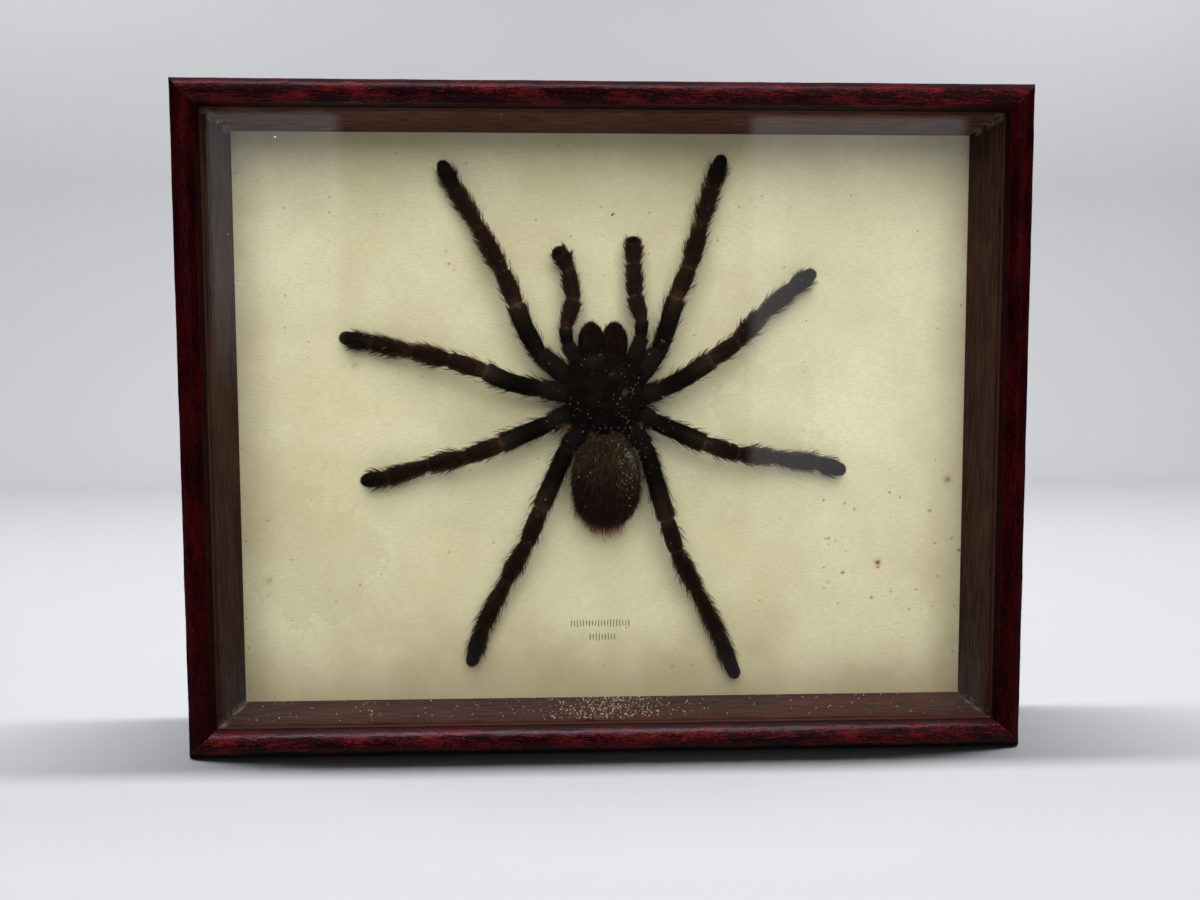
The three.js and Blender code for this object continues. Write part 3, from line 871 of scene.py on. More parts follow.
def pale_grit(name, light, dark):
    """Dust and crumbs."""
    paint = Paint(name)
    kinds = paint.noise(paint.place(), 0.7, detail=3, roughness=0.7)
    paint.set(Base_Color=paint.mix(paint.spread(kinds, 0.35, 0.65), light, dark))
    paint.set(Roughness=paint.spread(kinds, 0.3, 0.7, 0.75, 0.95))
    return paint.material


def studio_white():
    """The floor's white, a little cloudy. It is grey here because the floor's own lamps are strong."""
    paint = Paint("studio_white")
    clouds = paint.noise(paint.place(), 420, detail=3)
    paint.set(Base_Color=paint.mix(clouds, *STUDIO_WHITE))
    paint.set(Roughness=0.7)
    return paint.material


# ---- frame


def moulding_section():
    """The rail's outline [inwards, backwards], and how many of its points are lacquered."""
    round_radius = RAIL_THICKNESS / 2
    turns = np.linspace(0, np.pi, ROUND_STEPS + 1)
    front = [
        (round_radius - round_radius * math.cos(turn), round_radius - round_radius * math.sin(turn))
        for turn in turns
    ]
    quirk_end = round_radius + 2 * QUIRK
    lip = [
        (RAIL_THICKNESS - QUIRK, round_radius + QUIRK),
        (RAIL_THICKNESS, quirk_end),
        (RAIL_THICKNESS, (quirk_end + GROOVE_FROM) / 2),
        (RAIL_THICKNESS, GROOVE_FROM - EDGE),
        (RAIL_THICKNESS - EDGE, GROOVE_FROM),
    ]
    floor = RAIL_THICKNESS - GROOVE_DEPTH
    groove = [
        (floor, GROOVE_FROM),
        (floor, GROOVE_TO),
        (RAIL_THICKNESS - EDGE, GROOVE_TO),
        (RAIL_THICKNESS, GROOVE_TO + EDGE),
    ]
    steps = int((RABBET_FROM - GROOVE_TO) / WALL_STEP)
    wall = [(RAIL_THICKNESS, d) for d in np.linspace(GROOVE_TO + EDGE, RABBET_FROM - EDGE, steps + 1)[1:]]
    rabbet_wall = RAIL_THICKNESS - RABBET_WIDTH
    back = [
        (RAIL_THICKNESS - EDGE, RABBET_FROM),
        (rabbet_wall, RABBET_FROM),
        (rabbet_wall, FRAME_DEPTH - EDGE),
        (rabbet_wall - EDGE, FRAME_DEPTH),
        (EDGE, FRAME_DEPTH),
    ]
    outer = [(0, d) for d in np.linspace(FRAME_DEPTH - EDGE, round_radius, OUTER_STEPS)[:-1]]
    inner = lip[1:] + groove + wall + back
    outline = front + lip[:1] + inner + outer
    lacquered = np.zeros(len(outline), bool)
    lacquered[: len(front) + 1] = True
    lacquered[len(outline) - len(outer) - 1 :] = True
    return np.array(outline), lacquered


def rail(side, length, turn, corner, materials, seed):
    """A mitred rail. Its own frame has x along it from the middle, y backwards and z inwards."""
    outline, lacquered = moulding_section()
    steps = int(length / RAIL_STEP)
    share = np.linspace(-1, 1, steps + 1)[:, None]
    reach = length / 2 - MITRE_GAP / 2 - outline[:, 0]
    along = share * reach
    inwards = np.broadcast_to(outline[:, 0], along.shape)
    backwards = np.broadcast_to(outline[:, 1], along.shape)
    points = np.stack([along, FRONT + backwards, inwards], axis=-1).reshape(-1, 3)
    middle = np.array([RAIL_THICKNESS / 2, RAIL_THICKNESS / 2])
    outwards = unit(np.minimum(outline, [np.inf, RAIL_THICKNESS / 2]) - middle)
    on_round = (outline[:, 1] <= RAIL_THICKNESS / 2) | (outline[:, 0] < EDGE)
    dents = relief(points, DENTS, seed).reshape(along.shape)
    dents = np.minimum(dents, DENT_CAP) - DENT_CAP
    dents = dents * on_round * np.clip((1 - np.abs(share)) * steps / 3, 0, 1)
    shifts = dents[..., None] * outwards
    points = points.reshape(*along.shape, 3)
    points[..., 2] += shifts[..., 0]
    points[..., 1] += shifts[..., 1]
    points = points.reshape(-1, 3) @ np.array(Matrix.Rotation(turn, 3, "Y")).T + np.array(corner)
    count = len(outline)
    ring = np.arange(len(points)).reshape(steps + 1, count)
    turned = np.roll(ring, -1, axis=1)
    quads = np.stack([ring[:-1], ring[1:], turned[1:], turned[:-1]], axis=-1).reshape(-1, 4)
    ends = [ring[:1], ring[-1:, ::-1]]
    piece = add_mesh(f"moulding_{side}", points, [quads, *ends], materials)
    bare = ~(lacquered & np.roll(lacquered, -1))
    slots = np.concatenate([np.tile(bare, steps), [True, True]]).astype(np.int32)
    piece.data.polygons.foreach_set("material_index", slots)
    piece.data.set_sharp_from_angle(angle=math.radians(SHARP_DEG))
    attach(piece, "root")
    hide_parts(f"rail_{side}")
    return piece


def rails():
    """The four rails, and the narrow lamp that lights the lower one."""
    finishes = {
        kind: [lacquered_wood(f"lacquer_{kind}", finish), bare_wood(f"bare_wood_{kind}", finish)]
        for kind, finish in FINISHES.items()
    }
    middle = FRAME_HEIGHT / 2
    side = FRAME_WIDTH / 2
    quarter = math.pi / 2
    bottom = rail("bottom", FRAME_WIDTH, 0, (0, 0, 0), finishes["bottom"], SEED + 1)
    rail("top", FRAME_WIDTH, math.pi, (0, 0, FRAME_HEIGHT), finishes["top"], SEED + 3)
    rail("left", FRAME_HEIGHT, quarter, (-side, 0, middle), finishes["upright"], SEED + 5)
    rail("right", FRAME_HEIGHT, -quarter, (side, 0, middle), finishes["upright"], SEED + 7)
    link_light(lamp("glint", *GLINT), bottom, "INCLUDE")


def finish_node(name, material):
    """Gives a CAD node its material."""
    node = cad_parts[name]
    node.data.materials.clear()
    node.data.materials.append(material)
    return node


def soften(node, width):
    """Rounds a metal node's sharp edges."""
    bevel = node.modifiers.new("edges", "BEVEL")
    bevel.width = width * MM
    bevel.segments = 2
    bevel.limit_method = "ANGLE"
    bevel.angle_limit = math.radians(BEVEL_DEG)
    bevel.harden_normals = False


def flat_pieces():
    """Pane, card, panel and the metal at the back."""
    pane = finish_node("glass", clear_glass())
    # Lamps light the paper as if the pane weren't there; the pane still reflects and refracts.
    pane.visible_shadow = False
    pane.visible_diffuse = False
    finish_node("mount_card", cream_paper())
    finish_node("back_panel", hardboard())
    steel = worn_metal("zinced_steel", *ZINC, (1, 1, 6))
    brass = worn_metal("brassed_steel", *BRASS, (0.3, 1, 5))
    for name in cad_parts:
        if name.startswith("framers_point"):
            soften(finish_node(name, steel), POINT_EDGE)
    soften(finish_node("hanger_plate", brass), HANGER_EDGE)
    finish_node("hanger_rivet_left", brass)
    finish_node("hanger_rivet_right", brass)


# ---- tarantula's skin


@dataclass
class Skin:
    """A furred surface: its mesh, and at each point where hairs lean, its colour and its fur."""

    points: np.ndarray
    quads: np.ndarray
    fans: np.ndarray
    flow: np.ndarray
    colour: np.ndarray
    fur_colour: np.ndarray
    fur_length: np.ndarray
    fur_weight: np.ndarray
    bristle_weight: np.ndarray

    def triangles(self):
        return triangles_of(self.quads, self.fans)


def limb_path(limb, heights, radii):
    """Ring middles and radii along a limb, each ring's place as segment + share, and the joints' reach."""
    root, lengths, headings, bow = limb
    angles = np.radians(headings)
    steps = np.stack([np.cos(angles), np.sin(angles)], axis=1) * np.array(lengths)[:, None]
    flat = np.vstack([root, np.array(root) + np.cumsum(steps, axis=0)])
    joints = np.stack([flat[:, 0], CARD_FACE - np.array(heights), flat[:, 1]], axis=1)
    middles = []
    places = []
    for i, (a, b) in enumerate(zip(joints, joints[1:])):
        count = round(np.linalg.norm(b - a) / RING_STEP)
        share = np.arange(count + (i == len(lengths) - 1)) / count
        sideways = unit(np.array([a[2] - b[2], 0, b[0] - a[0]]))
        bend = bow * np.sin(np.pi * share) if i == 1 else 0 * share
        middles.append(a + np.outer(share, b - a) + np.outer(bend, sideways))
        places.append(i + share)
    middles = smoothed(np.concatenate(middles), PATH_SMOOTHING)
    places = np.concatenate(places)
    controls = [i + place for i in range(len(radii)) for place in RING_PLACES]
    sizes = np.interp(places, controls, np.ravel(radii))
    return middles, smoothed(sizes, RADIUS_SMOOTHING), places


def joint_profile(reach, places):
    """How the radius swells just before each joint and shrinks just after it."""
    factor = np.ones_like(reach)
    for joint in range(1, int(places.max())):
        start = np.interp(joint, places, reach)
        past = reach - start
        factor -= NECK_DEPTH * np.exp(-np.maximum(past, 0) / NECK_LENGTH) * (past >= 0)
        factor += FLARE * np.exp(-((past / FLARE_LENGTH) ** 2)) * (past < 0)
    return factor


def limb_colours(places, out_share, seed):
    """Skin colour along a limb: brown coxa, olive femur, red-brown shank, dark foot, pale joint rims."""
    stops, palette = zip(*LIMB_COLOURS)
    colours = np.stack([np.interp(places, stops, channel) for channel in zip(*palette)], axis=1)
    striped = np.clip((out_share - 0.55) * 3, 0, 1) * (places > 2.2)
    shade = 1 + 0.35 * ripple(np.stack([places * 3, out_share * 2, places * 0], axis=1), 2.5, seed)
    colours = blend(colours, DARK_CUTICLE, 0.65 * striped) * shade[:, None]
    before_joint = np.ceil(places) - places
    rim = np.exp(-((before_joint / 0.03) ** 2)) * (places > 1.5) * (places < 5.5)
    return blend(colours, JOINT_RIM, 0.38 * rim)


def limb_skin(limb, heights, radii, seed):
    """A leg's or palp's skin, ring by ring, with its joints, creases and colours."""
    middles, sizes, places = limb_path(limb, heights, radii)
    along = unit(np.gradient(middles, axis=0))
    outwards = np.array([0.0, -1.0, 0.0])
    side = unit(np.cross(outwards, along))
    up = np.cross(along, side)
    gaps = np.linalg.norm(np.diff(middles, axis=0), axis=1)
    reach = np.concatenate([[0], np.cumsum(gaps)])
    end = np.clip((reach - reach[-1] + TIP_LENGTH) / TIP_LENGTH, 0, 0.985)
    sizes = sizes * SKIN_SHARE * joint_profile(reach, places) * np.sqrt(1 - end**2.2)
    turns = np.arange(LIMB_SIDES) * 2 * np.pi / LIMB_SIDES
    sideways = np.cos(turns)
    upwards = np.sin(turns)
    spokes = side[:, None] * sideways[:, None] + up[:, None] * upwards[:, None] * LIMB_FLATNESS
    points = middles[:, None] + spokes * sizes[:, None, None]
    flat = points.reshape(-1, 3)
    ring_places = np.repeat(places, LIMB_SIDES)
    creases = relief(flat, CREASES, seed)
    flat = flat + creases[:, None] * unit(spokes).reshape(-1, 3) * np.repeat(sizes > 1, LIMB_SIDES)[:, None]
    flat[:, 1] = np.minimum(flat[:, 1], CARD_FACE - CARD_CLEARANCE - 0.2)
    flat = np.vstack([flat, middles[0] - along[0] * 0.5, middles[-1] + along[-1] * 0.1])
    quads, fans = tube_faces(len(middles), LIMB_SIDES)
    flow = np.vstack([np.repeat(along, LIMB_SIDES, axis=0), along[0], along[-1]])
    ring_places = np.append(ring_places, [0, places[-1]])
    out_share = np.append(np.tile(upwards, len(middles)), [0, 0])
    side_share = np.append(np.tile(np.abs(sideways), len(middles)), [0, 0])
    colour = limb_colours(ring_places, out_share, seed + 2)
    near_joint = np.abs(ring_places - np.round(ring_places))
    bald = np.clip(near_joint * 14, 0.1, 1)
    facing = np.where(out_share > -0.35, 1.0, 0.25)
    distal = np.clip((ring_places - 2.6) * 1.2, 0.3, 1)
    return Skin(
        points=flat,
        quads=quads,
        fans=fans,
        flow=flow,
        colour=colour,
        fur_colour=blend(colour * 1.25, PALE_HAIR, 0.02 * (ring_places < 1.05)),
        fur_length=np.full(len(flat), LIMB_FUR),
        fur_weight=bald * facing,
        bristle_weight=distal * facing * (0.25 + side_share) * (ring_places < 5.55),
    )


def rounded_form(form, columns, rows):
    """A blunted ellipsoid with poles up and down the frame."""
    (x, z), height, half, blunt = form
    lift = np.linspace(0, np.pi, rows + 2)[1:-1]
    turns = np.arange(columns) * 2 * np.pi / columns
    ball = np.stack(
        [
            np.outer(np.sin(lift), np.cos(turns)),
            np.outer(np.sin(lift), np.sin(turns)),
            np.outer(-np.cos(lift), np.ones(columns)),
        ],
        axis=-1,
    ).reshape(-1, 3)
    ball = np.vstack([ball, [0, 0, -1], [0, 0, 1]])
    bulged = np.sign(ball) * np.abs(ball) ** blunt
    middle = np.array([x, CARD_FACE - height, z])
    points = middle + bulged * np.array([half[0], half[2], half[1]])
    return points, *tube_faces(rows, columns)


def inside(form, points, share):
    """Whether each point is inside a rounded form shrunk to this share."""
    (x, z), height, half, blunt = form
    away = (points - [x, CARD_FACE - height, z]) / (np.array([half[0], half[2], half[1]]) * share)
    return (np.abs(away) ** (2 / blunt)).sum(axis=1) < 1


def fused_trunk():
    """Carapace, head, eye mound, sternum, waist and abdomen as one skin: points and triangles."""
    shapes = []
    for form in (CARAPACE, HEAD, EYE_MOUND, STERNUM, WAIST, ABDOMEN):
        points, quads, fans = rounded_form(form, *TRUNK_GRID)
        middle = points.mean(axis=0)
        slimmer = 1 - FUR_DEPTH / np.array(form[2])[[0, 2, 1]]
        shapes.append((middle + (points - middle) * slimmer, quads, fans))
    points, *faces = joined(shapes)
    lump = add_mesh("trunk_lump", points, faces, [])
    remesh = lump.modifiers.new("fuse", "REMESH")
    remesh.mode = "VOXEL"
    remesh.voxel_size = VOXEL * MM
    ease = lump.modifiers.new("ease", "SMOOTH")
    ease.iterations = SMOOTH_PASSES
    fused = lump.evaluated_get(bpy.context.evaluated_depsgraph_get()).to_mesh()
    points = np.zeros(len(fused.vertices) * 3)
    fused.vertices.foreach_get("co", points)
    fused.calc_loop_triangles()
    triangles = np.zeros(len(fused.loop_triangles) * 3, np.int32)
    fused.loop_triangles.foreach_get("vertices", triangles)
    bpy.data.objects.remove(lump)
    return points.reshape(-1, 3) / MM, triangles.reshape(-1, 3)


def sculpt_carapace(points, normals):
    """Presses the fovea and the grooves that run out from it into the back's shield."""
    across = points[:, 0] - FOVEA[0]
    ahead = points[:, 2] - FOVEA[1]
    away = np.hypot(across, ahead)
    heading = np.abs(np.degrees(np.arctan2(across, ahead)))
    on_back = np.clip(-normals[:, 1] * 1.6 - 0.3, 0, 1) * (points[:, 2] > ABDOMEN_BELOW + 1)
    deepest, half_across, half_along = FOVEA_PIT
    depth = deepest * np.exp(-((across / half_across) ** 2) - (ahead / half_along) ** 2)
    for groove, deep in FOVEA_GROOVES:
        wide = 5.5 + 26 / (away + 2)
        run = np.clip((away - 1.2) / 2.5, 0, 1) * np.clip((11.5 - away) / 3, 0, 1)
        depth += deep * np.exp(-(((heading - groove) / wide) ** 2)) * run
    return points - normals * (depth * on_back)[:, None]


def trunk_skin():
    """The trunk's skin, its hairs running out from the fovea and down the abdomen."""
    points, triangles = fused_trunk()
    normals = vertex_normals(points, triangles)
    points = sculpt_carapace(points, normals)
    points = points + normals * relief(points, WRINKLES, SEED + 20)[:, None]
    rear = points[:, 2] < ABDOMEN_BELOW
    across = points[:, 0] - FOVEA[0]
    ahead = points[:, 2] - FOVEA[1]
    from_fovea = np.stack([across, 0.4 + 0 * across, ahead], axis=1)
    backwards = np.stack([0.03 * points[:, 0], 0.15 + 0 * across, -1 + 0 * across], axis=1)
    flow = np.where(rear[:, None], backwards, unit(from_fovea))
    mottle = ripple(points, 4.5, SEED + 22)
    front_top = np.clip((points[:, 2] - 74) / 10, 0, 1) * rear
    back_fur = blend(np.tile(OLIVE_BLACK, (len(points), 1)) * 1.1, OLIVE_HAIR, 0.02 + 0.3 * mottle)
    rear_fur = blend(np.tile(REAR_FUR, (len(points), 1)), OLIVE_HAIR, 0.7 * front_top + 0.15 * mottle)
    facing = np.where(normals[:, 1] < 0.45, 1.0, 0.15)
    length, velvet, bristles = (np.where(rear, *pair) for pair in zip(REAR_COAT, BACK_COAT))
    return Skin(
        points=points,
        quads=np.zeros((0, 4), int),
        fans=triangles,
        flow=flow,
        colour=np.where(rear[:, None], DARK_CUTICLE, blend(OLIVE_BLACK, RUST_BROWN, 0.3 * mottle)),
        fur_colour=np.where(rear[:, None], rear_fur, back_fur),
        fur_length=length,
        fur_weight=facing * velvet,
        bristle_weight=facing * bristles,
    )


def jaw_skin(form, seed):
    """One chelicera: a ribbed, tapered lobe."""
    points, quads, fans = rounded_form(form, *JAW_GRID)
    (x, z), height, half, _ = form
    middle = np.array([x, CARD_FACE - height, z])
    tip_share = np.clip((points[:, 2] - z) / half[1], -1, 1)
    narrow = 1 - JAW_TAPER * np.clip(tip_share, 0, 1) ** 2
    narrow = np.stack([narrow, narrow, np.ones_like(narrow)], axis=1)
    points = middle + (points - middle) * narrow * JAW_SHARE
    normals = vertex_normals(points, triangles_of(quads, fans))
    points = points + normals * (0.09 * ripple(points * [1, 1, 0.25], 1.2, seed))[:, None]
    streaks = ripple(points * [1, 1, 0.12], 0.9, seed + 1)
    colour = blend(np.tile(DARK_CUTICLE, (len(points), 1)), RUST_BROWN, 0.1 + 0.5 * streaks)
    facing = np.where(normals[:, 1] < 0.35, 1.0, 0.2)
    return Skin(
        points=points,
        quads=quads,
        fans=fans,
        flow=np.tile([0.0, 0.05, 1.0], (len(points), 1)),
        colour=colour,
        fur_colour=colour * 0.8,
        fur_length=np.full(len(points), JAW_FUR),
        fur_weight=facing * 1.2,
        bristle_weight=facing * np.clip(tip_share + 0.2, 0.1, 1),
    )


def joined_skin(skins, material):
    """The whole spider's skin as one piece."""
    points, *faces = joined([(skin.points, skin.quads, skin.fans) for skin in skins])
    piece = add_mesh("tarantula_skin", points, faces, [material])
    paint_points(piece, np.vstack([skin.colour for skin in skins]))
    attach(piece, "root")
    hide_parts("tarantula")


# ---- hair


@dataclass
class Hairs:
    """Hairs still to be meshed, one row each."""

    roots: np.ndarray
    normals: np.ndarray
    flow: np.ndarray
    lengths: np.ndarray
    lifts: np.ndarray
    widths: np.ndarray
    colours: np.ndarray

    def kept(self, mask):
        return Hairs(*(getattr(self, name)[mask] for name in self.__dataclass_fields__))


def scatter(skin, count, weight, rng):
    """Random places on a skin: triangle corners and their shares, by area times weight."""
    triangles = skin.triangles()
    a, b, c = (skin.points[triangles[:, i]] for i in range(3))
    areas = np.linalg.norm(np.cross(b - a, c - a), axis=1) * weight[triangles].mean(axis=1)
    chosen = triangles[rng.choice(len(triangles), count, p=areas / areas.sum())]
    first = rng.random(count)
    second = rng.random(count)
    over = first + second > 1
    first[over], second[over] = 1 - first[over], 1 - second[over]
    return chosen, np.stack([1 - first - second, first, second], axis=1)


def hairs_on(skin, coat, rng):
    """Hairs of one kind scattered on a skin."""
    corners, shares = scatter(skin, coat.count, getattr(skin, coat.weight), rng)
    normals = vertex_normals(skin.points, skin.triangles())

    def at(values):
        if values.ndim == 1:
            return (values[corners] * shares).sum(axis=1)
        return (values[corners] * shares[..., None]).sum(axis=1)

    flow = unit(at(skin.flow)) + rng.normal(size=(coat.count, 3)) * coat.sway
    tone = rng.uniform(*coat.tone, coat.count)[:, None]
    return Hairs(
        roots=at(skin.points),
        normals=unit(at(normals)),
        flow=unit(flow),
        lengths=at(skin.fur_length) * rng.uniform(*coat.length, coat.count),
        lifts=np.radians(rng.uniform(*coat.lift_deg, coat.count)),
        widths=rng.uniform(*coat.width, coat.count),
        colours=at(skin.fur_colour) * tone,
    )


def together(parts):
    """Several bunches of hairs as one."""
    fields = Hairs.__dataclass_fields__
    return Hairs(*(np.concatenate([getattr(part, name) for part in parts]) for name in fields))


def coat_on(skins, coat, rng):
    """Hairs of one kind on several skins."""
    return together([hairs_on(skin, coat, rng) for skin in skins])


def hair_mesh(name, hairs, bends, curl, material):
    """Every hair as a three-sided spike of this many bends, in one piece."""
    count = len(hairs.roots)
    sideways = unit(np.cross(hairs.flow, hairs.normals))
    flow = unit(np.cross(hairs.normals, sideways))
    spine = [hairs.roots - hairs.normals * HAIR_ROOT]
    step = (hairs.lengths / bends)[:, None]
    for bend in range(bends):
        lift = hairs.lifts - curl * bend
        heading = flow * np.cos(lift)[:, None] + hairs.normals * np.sin(lift)[:, None]
        spine.append(spine[-1] + heading * step)
    corners = []
    for bend in range(bends):
        radius = (hairs.widths / 2 * (1 - bend / bends * 0.7))[:, None]
        for turn in HAIR_SIDES:
            across = sideways * math.cos(turn) + hairs.normals * math.sin(turn)
            corners.append(spine[bend] + across * radius)
    corners.append(spine[-1])
    points = np.stack(corners, axis=1)
    points[..., 1] = np.minimum(points[..., 1], CARD_FACE - CARD_CLEARANCE)
    width = points.shape[1]
    starts = (np.arange(count) * width)[:, None]
    quads = []
    tips = []
    for side in range(3):
        following = (side + 1) % 3
        for bend in range(bends - 1):
            low = bend * 3
            quads.append(starts + [low + side, low + following, low + 3 + following, low + 3 + side])
        low = (bends - 1) * 3
        tips.append(starts + [low + side, low + following, width - 1])
    faces = [np.vstack(quads)] if quads else []
    piece = add_mesh(name, points.reshape(-1, 3), [*faces, np.vstack(tips)], [material])
    share = np.append(np.repeat(np.arange(bends), 3) / bends, 1.0)
    tint = hairs.colours[:, None] * (0.6 + 0.7 * share)[None, :, None]
    paint_points(piece, tint.reshape(-1, 3))
    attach(piece, "root")


def clear_of_trunk(hairs):
    """Drops hairs that root inside the trunk."""
    hidden = np.zeros(len(hairs.roots), bool)
    for form in (CARAPACE, HEAD, STERNUM, ABDOMEN):
        hidden |= inside(form, hairs.roots, 0.93)
    return hairs.kept(~hidden)


def tuft(place, heading, count, length, spread, colour, rng, splay, width):
    """A bunch of hairs at place [x, height, z], leaning along heading [x, out, z]."""
    middle = np.array([place[0], CARD_FACE - place[1], place[2]])
    roots = middle + rng.normal(size=(count, 3)) * spread
    flow = unit(np.array([heading[0], -heading[1], heading[2]]) + rng.normal(size=(count, 3)) * splay)
    normals = unit(np.cross(np.cross(flow, [0, -1.0, 0]), flow))
    return Hairs(
        roots=roots,
        normals=normals,
        flow=flow,
        lengths=length * rng.uniform(0.6, 1.15, count),
        lifts=rng.uniform(-0.1, 0.35, count),
        widths=np.full(count, width) * rng.uniform(0.7, 1.1, count),
        colours=np.array(colour) * rng.uniform(0.55, 1.2, count)[:, None],
    )


def limb_hair(skins, name, velvet, bristles, seed, material):
    """Velvet and long bristles on some limbs. name has a gap for the kind of hair."""
    rng = np.random.default_rng(seed)
    for kind, coat in (("velvet", velvet), ("bristles", bristles)):
        hairs = clear_of_trunk(coat_on(skins, coat, rng))
        hair_mesh(name.format(kind), hairs, coat.bends, coat.curl, material)


def trunk_hair(trunk, jaws, stiff, soft):
    """Velvet and longer hair on the trunk and the jaws."""
    rng = np.random.default_rng(SEED + 70)
    for name, skins, coat, material in (
        ("trunk_velvet", [trunk], TRUNK_VELVET, stiff),
        ("trunk_bristles", [trunk], TRUNK_BRISTLES, soft),
        ("jaw_velvet", jaws, JAW_VELVET, stiff),
        ("jaw_fringe", jaws, JAW_FRINGE, soft),
    ):
        hair_mesh(name, coat_on(skins, coat, rng), coat.bends, coat.curl, material)


def coloured_tufts(material):
    """The pale, ochre and rust tufts that show between the legs and round the abdomen, and a pink tuft on the
    eye mound that is a painted glint.
    """
    rng = np.random.default_rng(SEED + 80)
    parts = [tuft(*row, rng, TUFT_SPLAY, TUFT_WIDTH) for row in TUFTS]
    (x, z), _, half, _ = ABDOMEN
    half_across, half_up = half[0] * FRINGE_ROUND[0], half[1] * FRINGE_ROUND[1]
    count, length, spread, splay, width = FRINGE_TUFT
    for turn in np.radians(np.arange(*FRINGE_TURNS_DEG)):
        place = (x + half_across * math.cos(turn), FRINGE_HEIGHT, z + half_up * math.sin(turn))
        heading = (math.cos(turn) * 0.5, 0.1, math.sin(turn) - 0.5)
        parts.append(tuft(place, heading, count, length, spread, RUST_HAIR, rng, splay, width))
    hair_mesh("coloured_tufts", together(parts), TUFT_BENDS, TUFT_CURL, material)


# ---- small things


def grit(name, middles, sizes, material, seed):
    """Irregular crumbs, each a squashed octahedron, as one piece."""
    rng = np.random.default_rng(seed)
    corners = np.array([[1, 0, 0], [-1, 0, 0], [0, 1, 0], [0, -1, 0], [0, 0, 1], [0, 0, -1]], float)
    sides = [[0, 2, 4], [2, 1, 4], [1, 3, 4], [3, 0, 4], [2, 0, 5], [1, 2, 5], [3, 1, 5], [0, 3, 5]]
    count = len(middles)
    shape = corners * rng.uniform(0.55, 1.25, (count, 6, 1)) * sizes[:, None, None] / 2
    turns, _ = np.linalg.qr(rng.normal(size=(count, 3, 3)))
    turns *= np.sign(np.linalg.det(turns))[:, None, None]
    points = np.einsum("nij,nkj->nki", turns, shape) + middles[:, None]
    faces = (np.arange(count) * 6)[:, None, None] + np.array(sides)
    piece = add_mesh(name, points.reshape(-1, 3), [faces.reshape(-1, 3)], [material], smooth=False)
    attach(piece, "root")


def crumbs():
    """Crumbs on the ledge of the bottom rail, thickest at the middle."""
    rng = np.random.default_rng(SEED + 90)
    heap = rng.normal(CRUMB_HEAP[0], CRUMB_HEAP[1] / 2, CRUMBS * 3 // 4)
    loose = rng.uniform(-CRUMB_REACH, CRUMB_REACH, CRUMBS - len(heap))
    x = np.clip(np.concatenate([heap, loose]), -LEDGE_END, LEDGE_END)
    sizes = rng.uniform(*CRUMB_SIZES, CRUMBS) ** 1.5 * 1.3 + 0.08
    y = FRONT + rng.uniform(GROOVE_TO + 1, RABBET_FROM - 0.6, CRUMBS)
    middles = np.stack([x, y, RAIL_THICKNESS + sizes * 0.3], axis=1)
    grit("crumbs", middles, sizes, pale_grit("crumb", *CRUMB), SEED + 91)


def specks(name, places, depth, material, seed):
    """Crumbs at places [x, z, size], all at one depth."""
    x, z, sizes = np.array(places).T
    grit(name, np.stack([x, np.full(len(x), depth), z], axis=1), sizes, material, seed)


def dust(trunk, legs):
    """White specks caught in the fur, a few on the pane's inner face, and dark flecks on the paper."""
    rng = np.random.default_rng(SEED + 95)
    spots = []
    (drift_x, wide), (drift_z, tall) = DUST_DRIFT
    band_z, band_reach = DUST_BAND
    for skin, count in [(trunk, TRUNK_DUST)] + [(leg, LEG_DUST) for leg in legs]:
        front = skin.fur_weight > 0.5
        x, _, z = skin.points.T
        drift = np.exp(-(((x - drift_x) / wide) ** 2) - ((z - drift_z) / tall) ** 2)
        band = np.exp(-(((z - band_z) / band_reach) ** 2))
        share = 0.2 + 0.5 * np.clip(x / drift_x, 0, 1) + 11 * drift + 0.3 * band
        corners, shares = scatter(skin, count, skin.fur_weight * front * share, rng)
        place = (skin.points[corners] * shares[..., None]).sum(axis=1)
        proud = 0.25 + 0.6 * (skin.fur_length[corners] * shares).sum(axis=1)
        spots.append(place - proud[:, None] * [0, 1, 0])
    spots = np.vstack(spots)
    sizes = rng.uniform(*DUST_SIZE_ROOTS, len(spots)) ** 2
    white = pale_grit("fur_dust", *DUST)
    grit("fur_dust", spots, sizes, white, SEED + 96)
    specks("pane_specks", PANE_SPECKS, FRONT + GROOVE_FROM - 0.05, white, SEED + 97)
    dark = pale_grit("dark_fleck", *DARK_FLECK)
    specks("paper_flecks", PAPER_FLECKS, CARD_FACE - 0.1, dark, SEED + 98)


def eyes():
    """Eight small eyes on the mound."""
    (x, z), height, half, _ = EYE_MOUND
    top = height + half[2] * 0.62
    balls = []
    for across, ahead, radius in EYE_PAIRS:
        for side in (-1, 1):
            form = ((x + side * across, z + ahead), top - 0.5 * across, (radius,) * 3, 1.0)
            balls.append(rounded_form(form, *EYE_GRID))
    points, *faces = joined(balls)
    piece = add_mesh("eyes", points, faces, [eye_gloss()])
    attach(piece, "root")


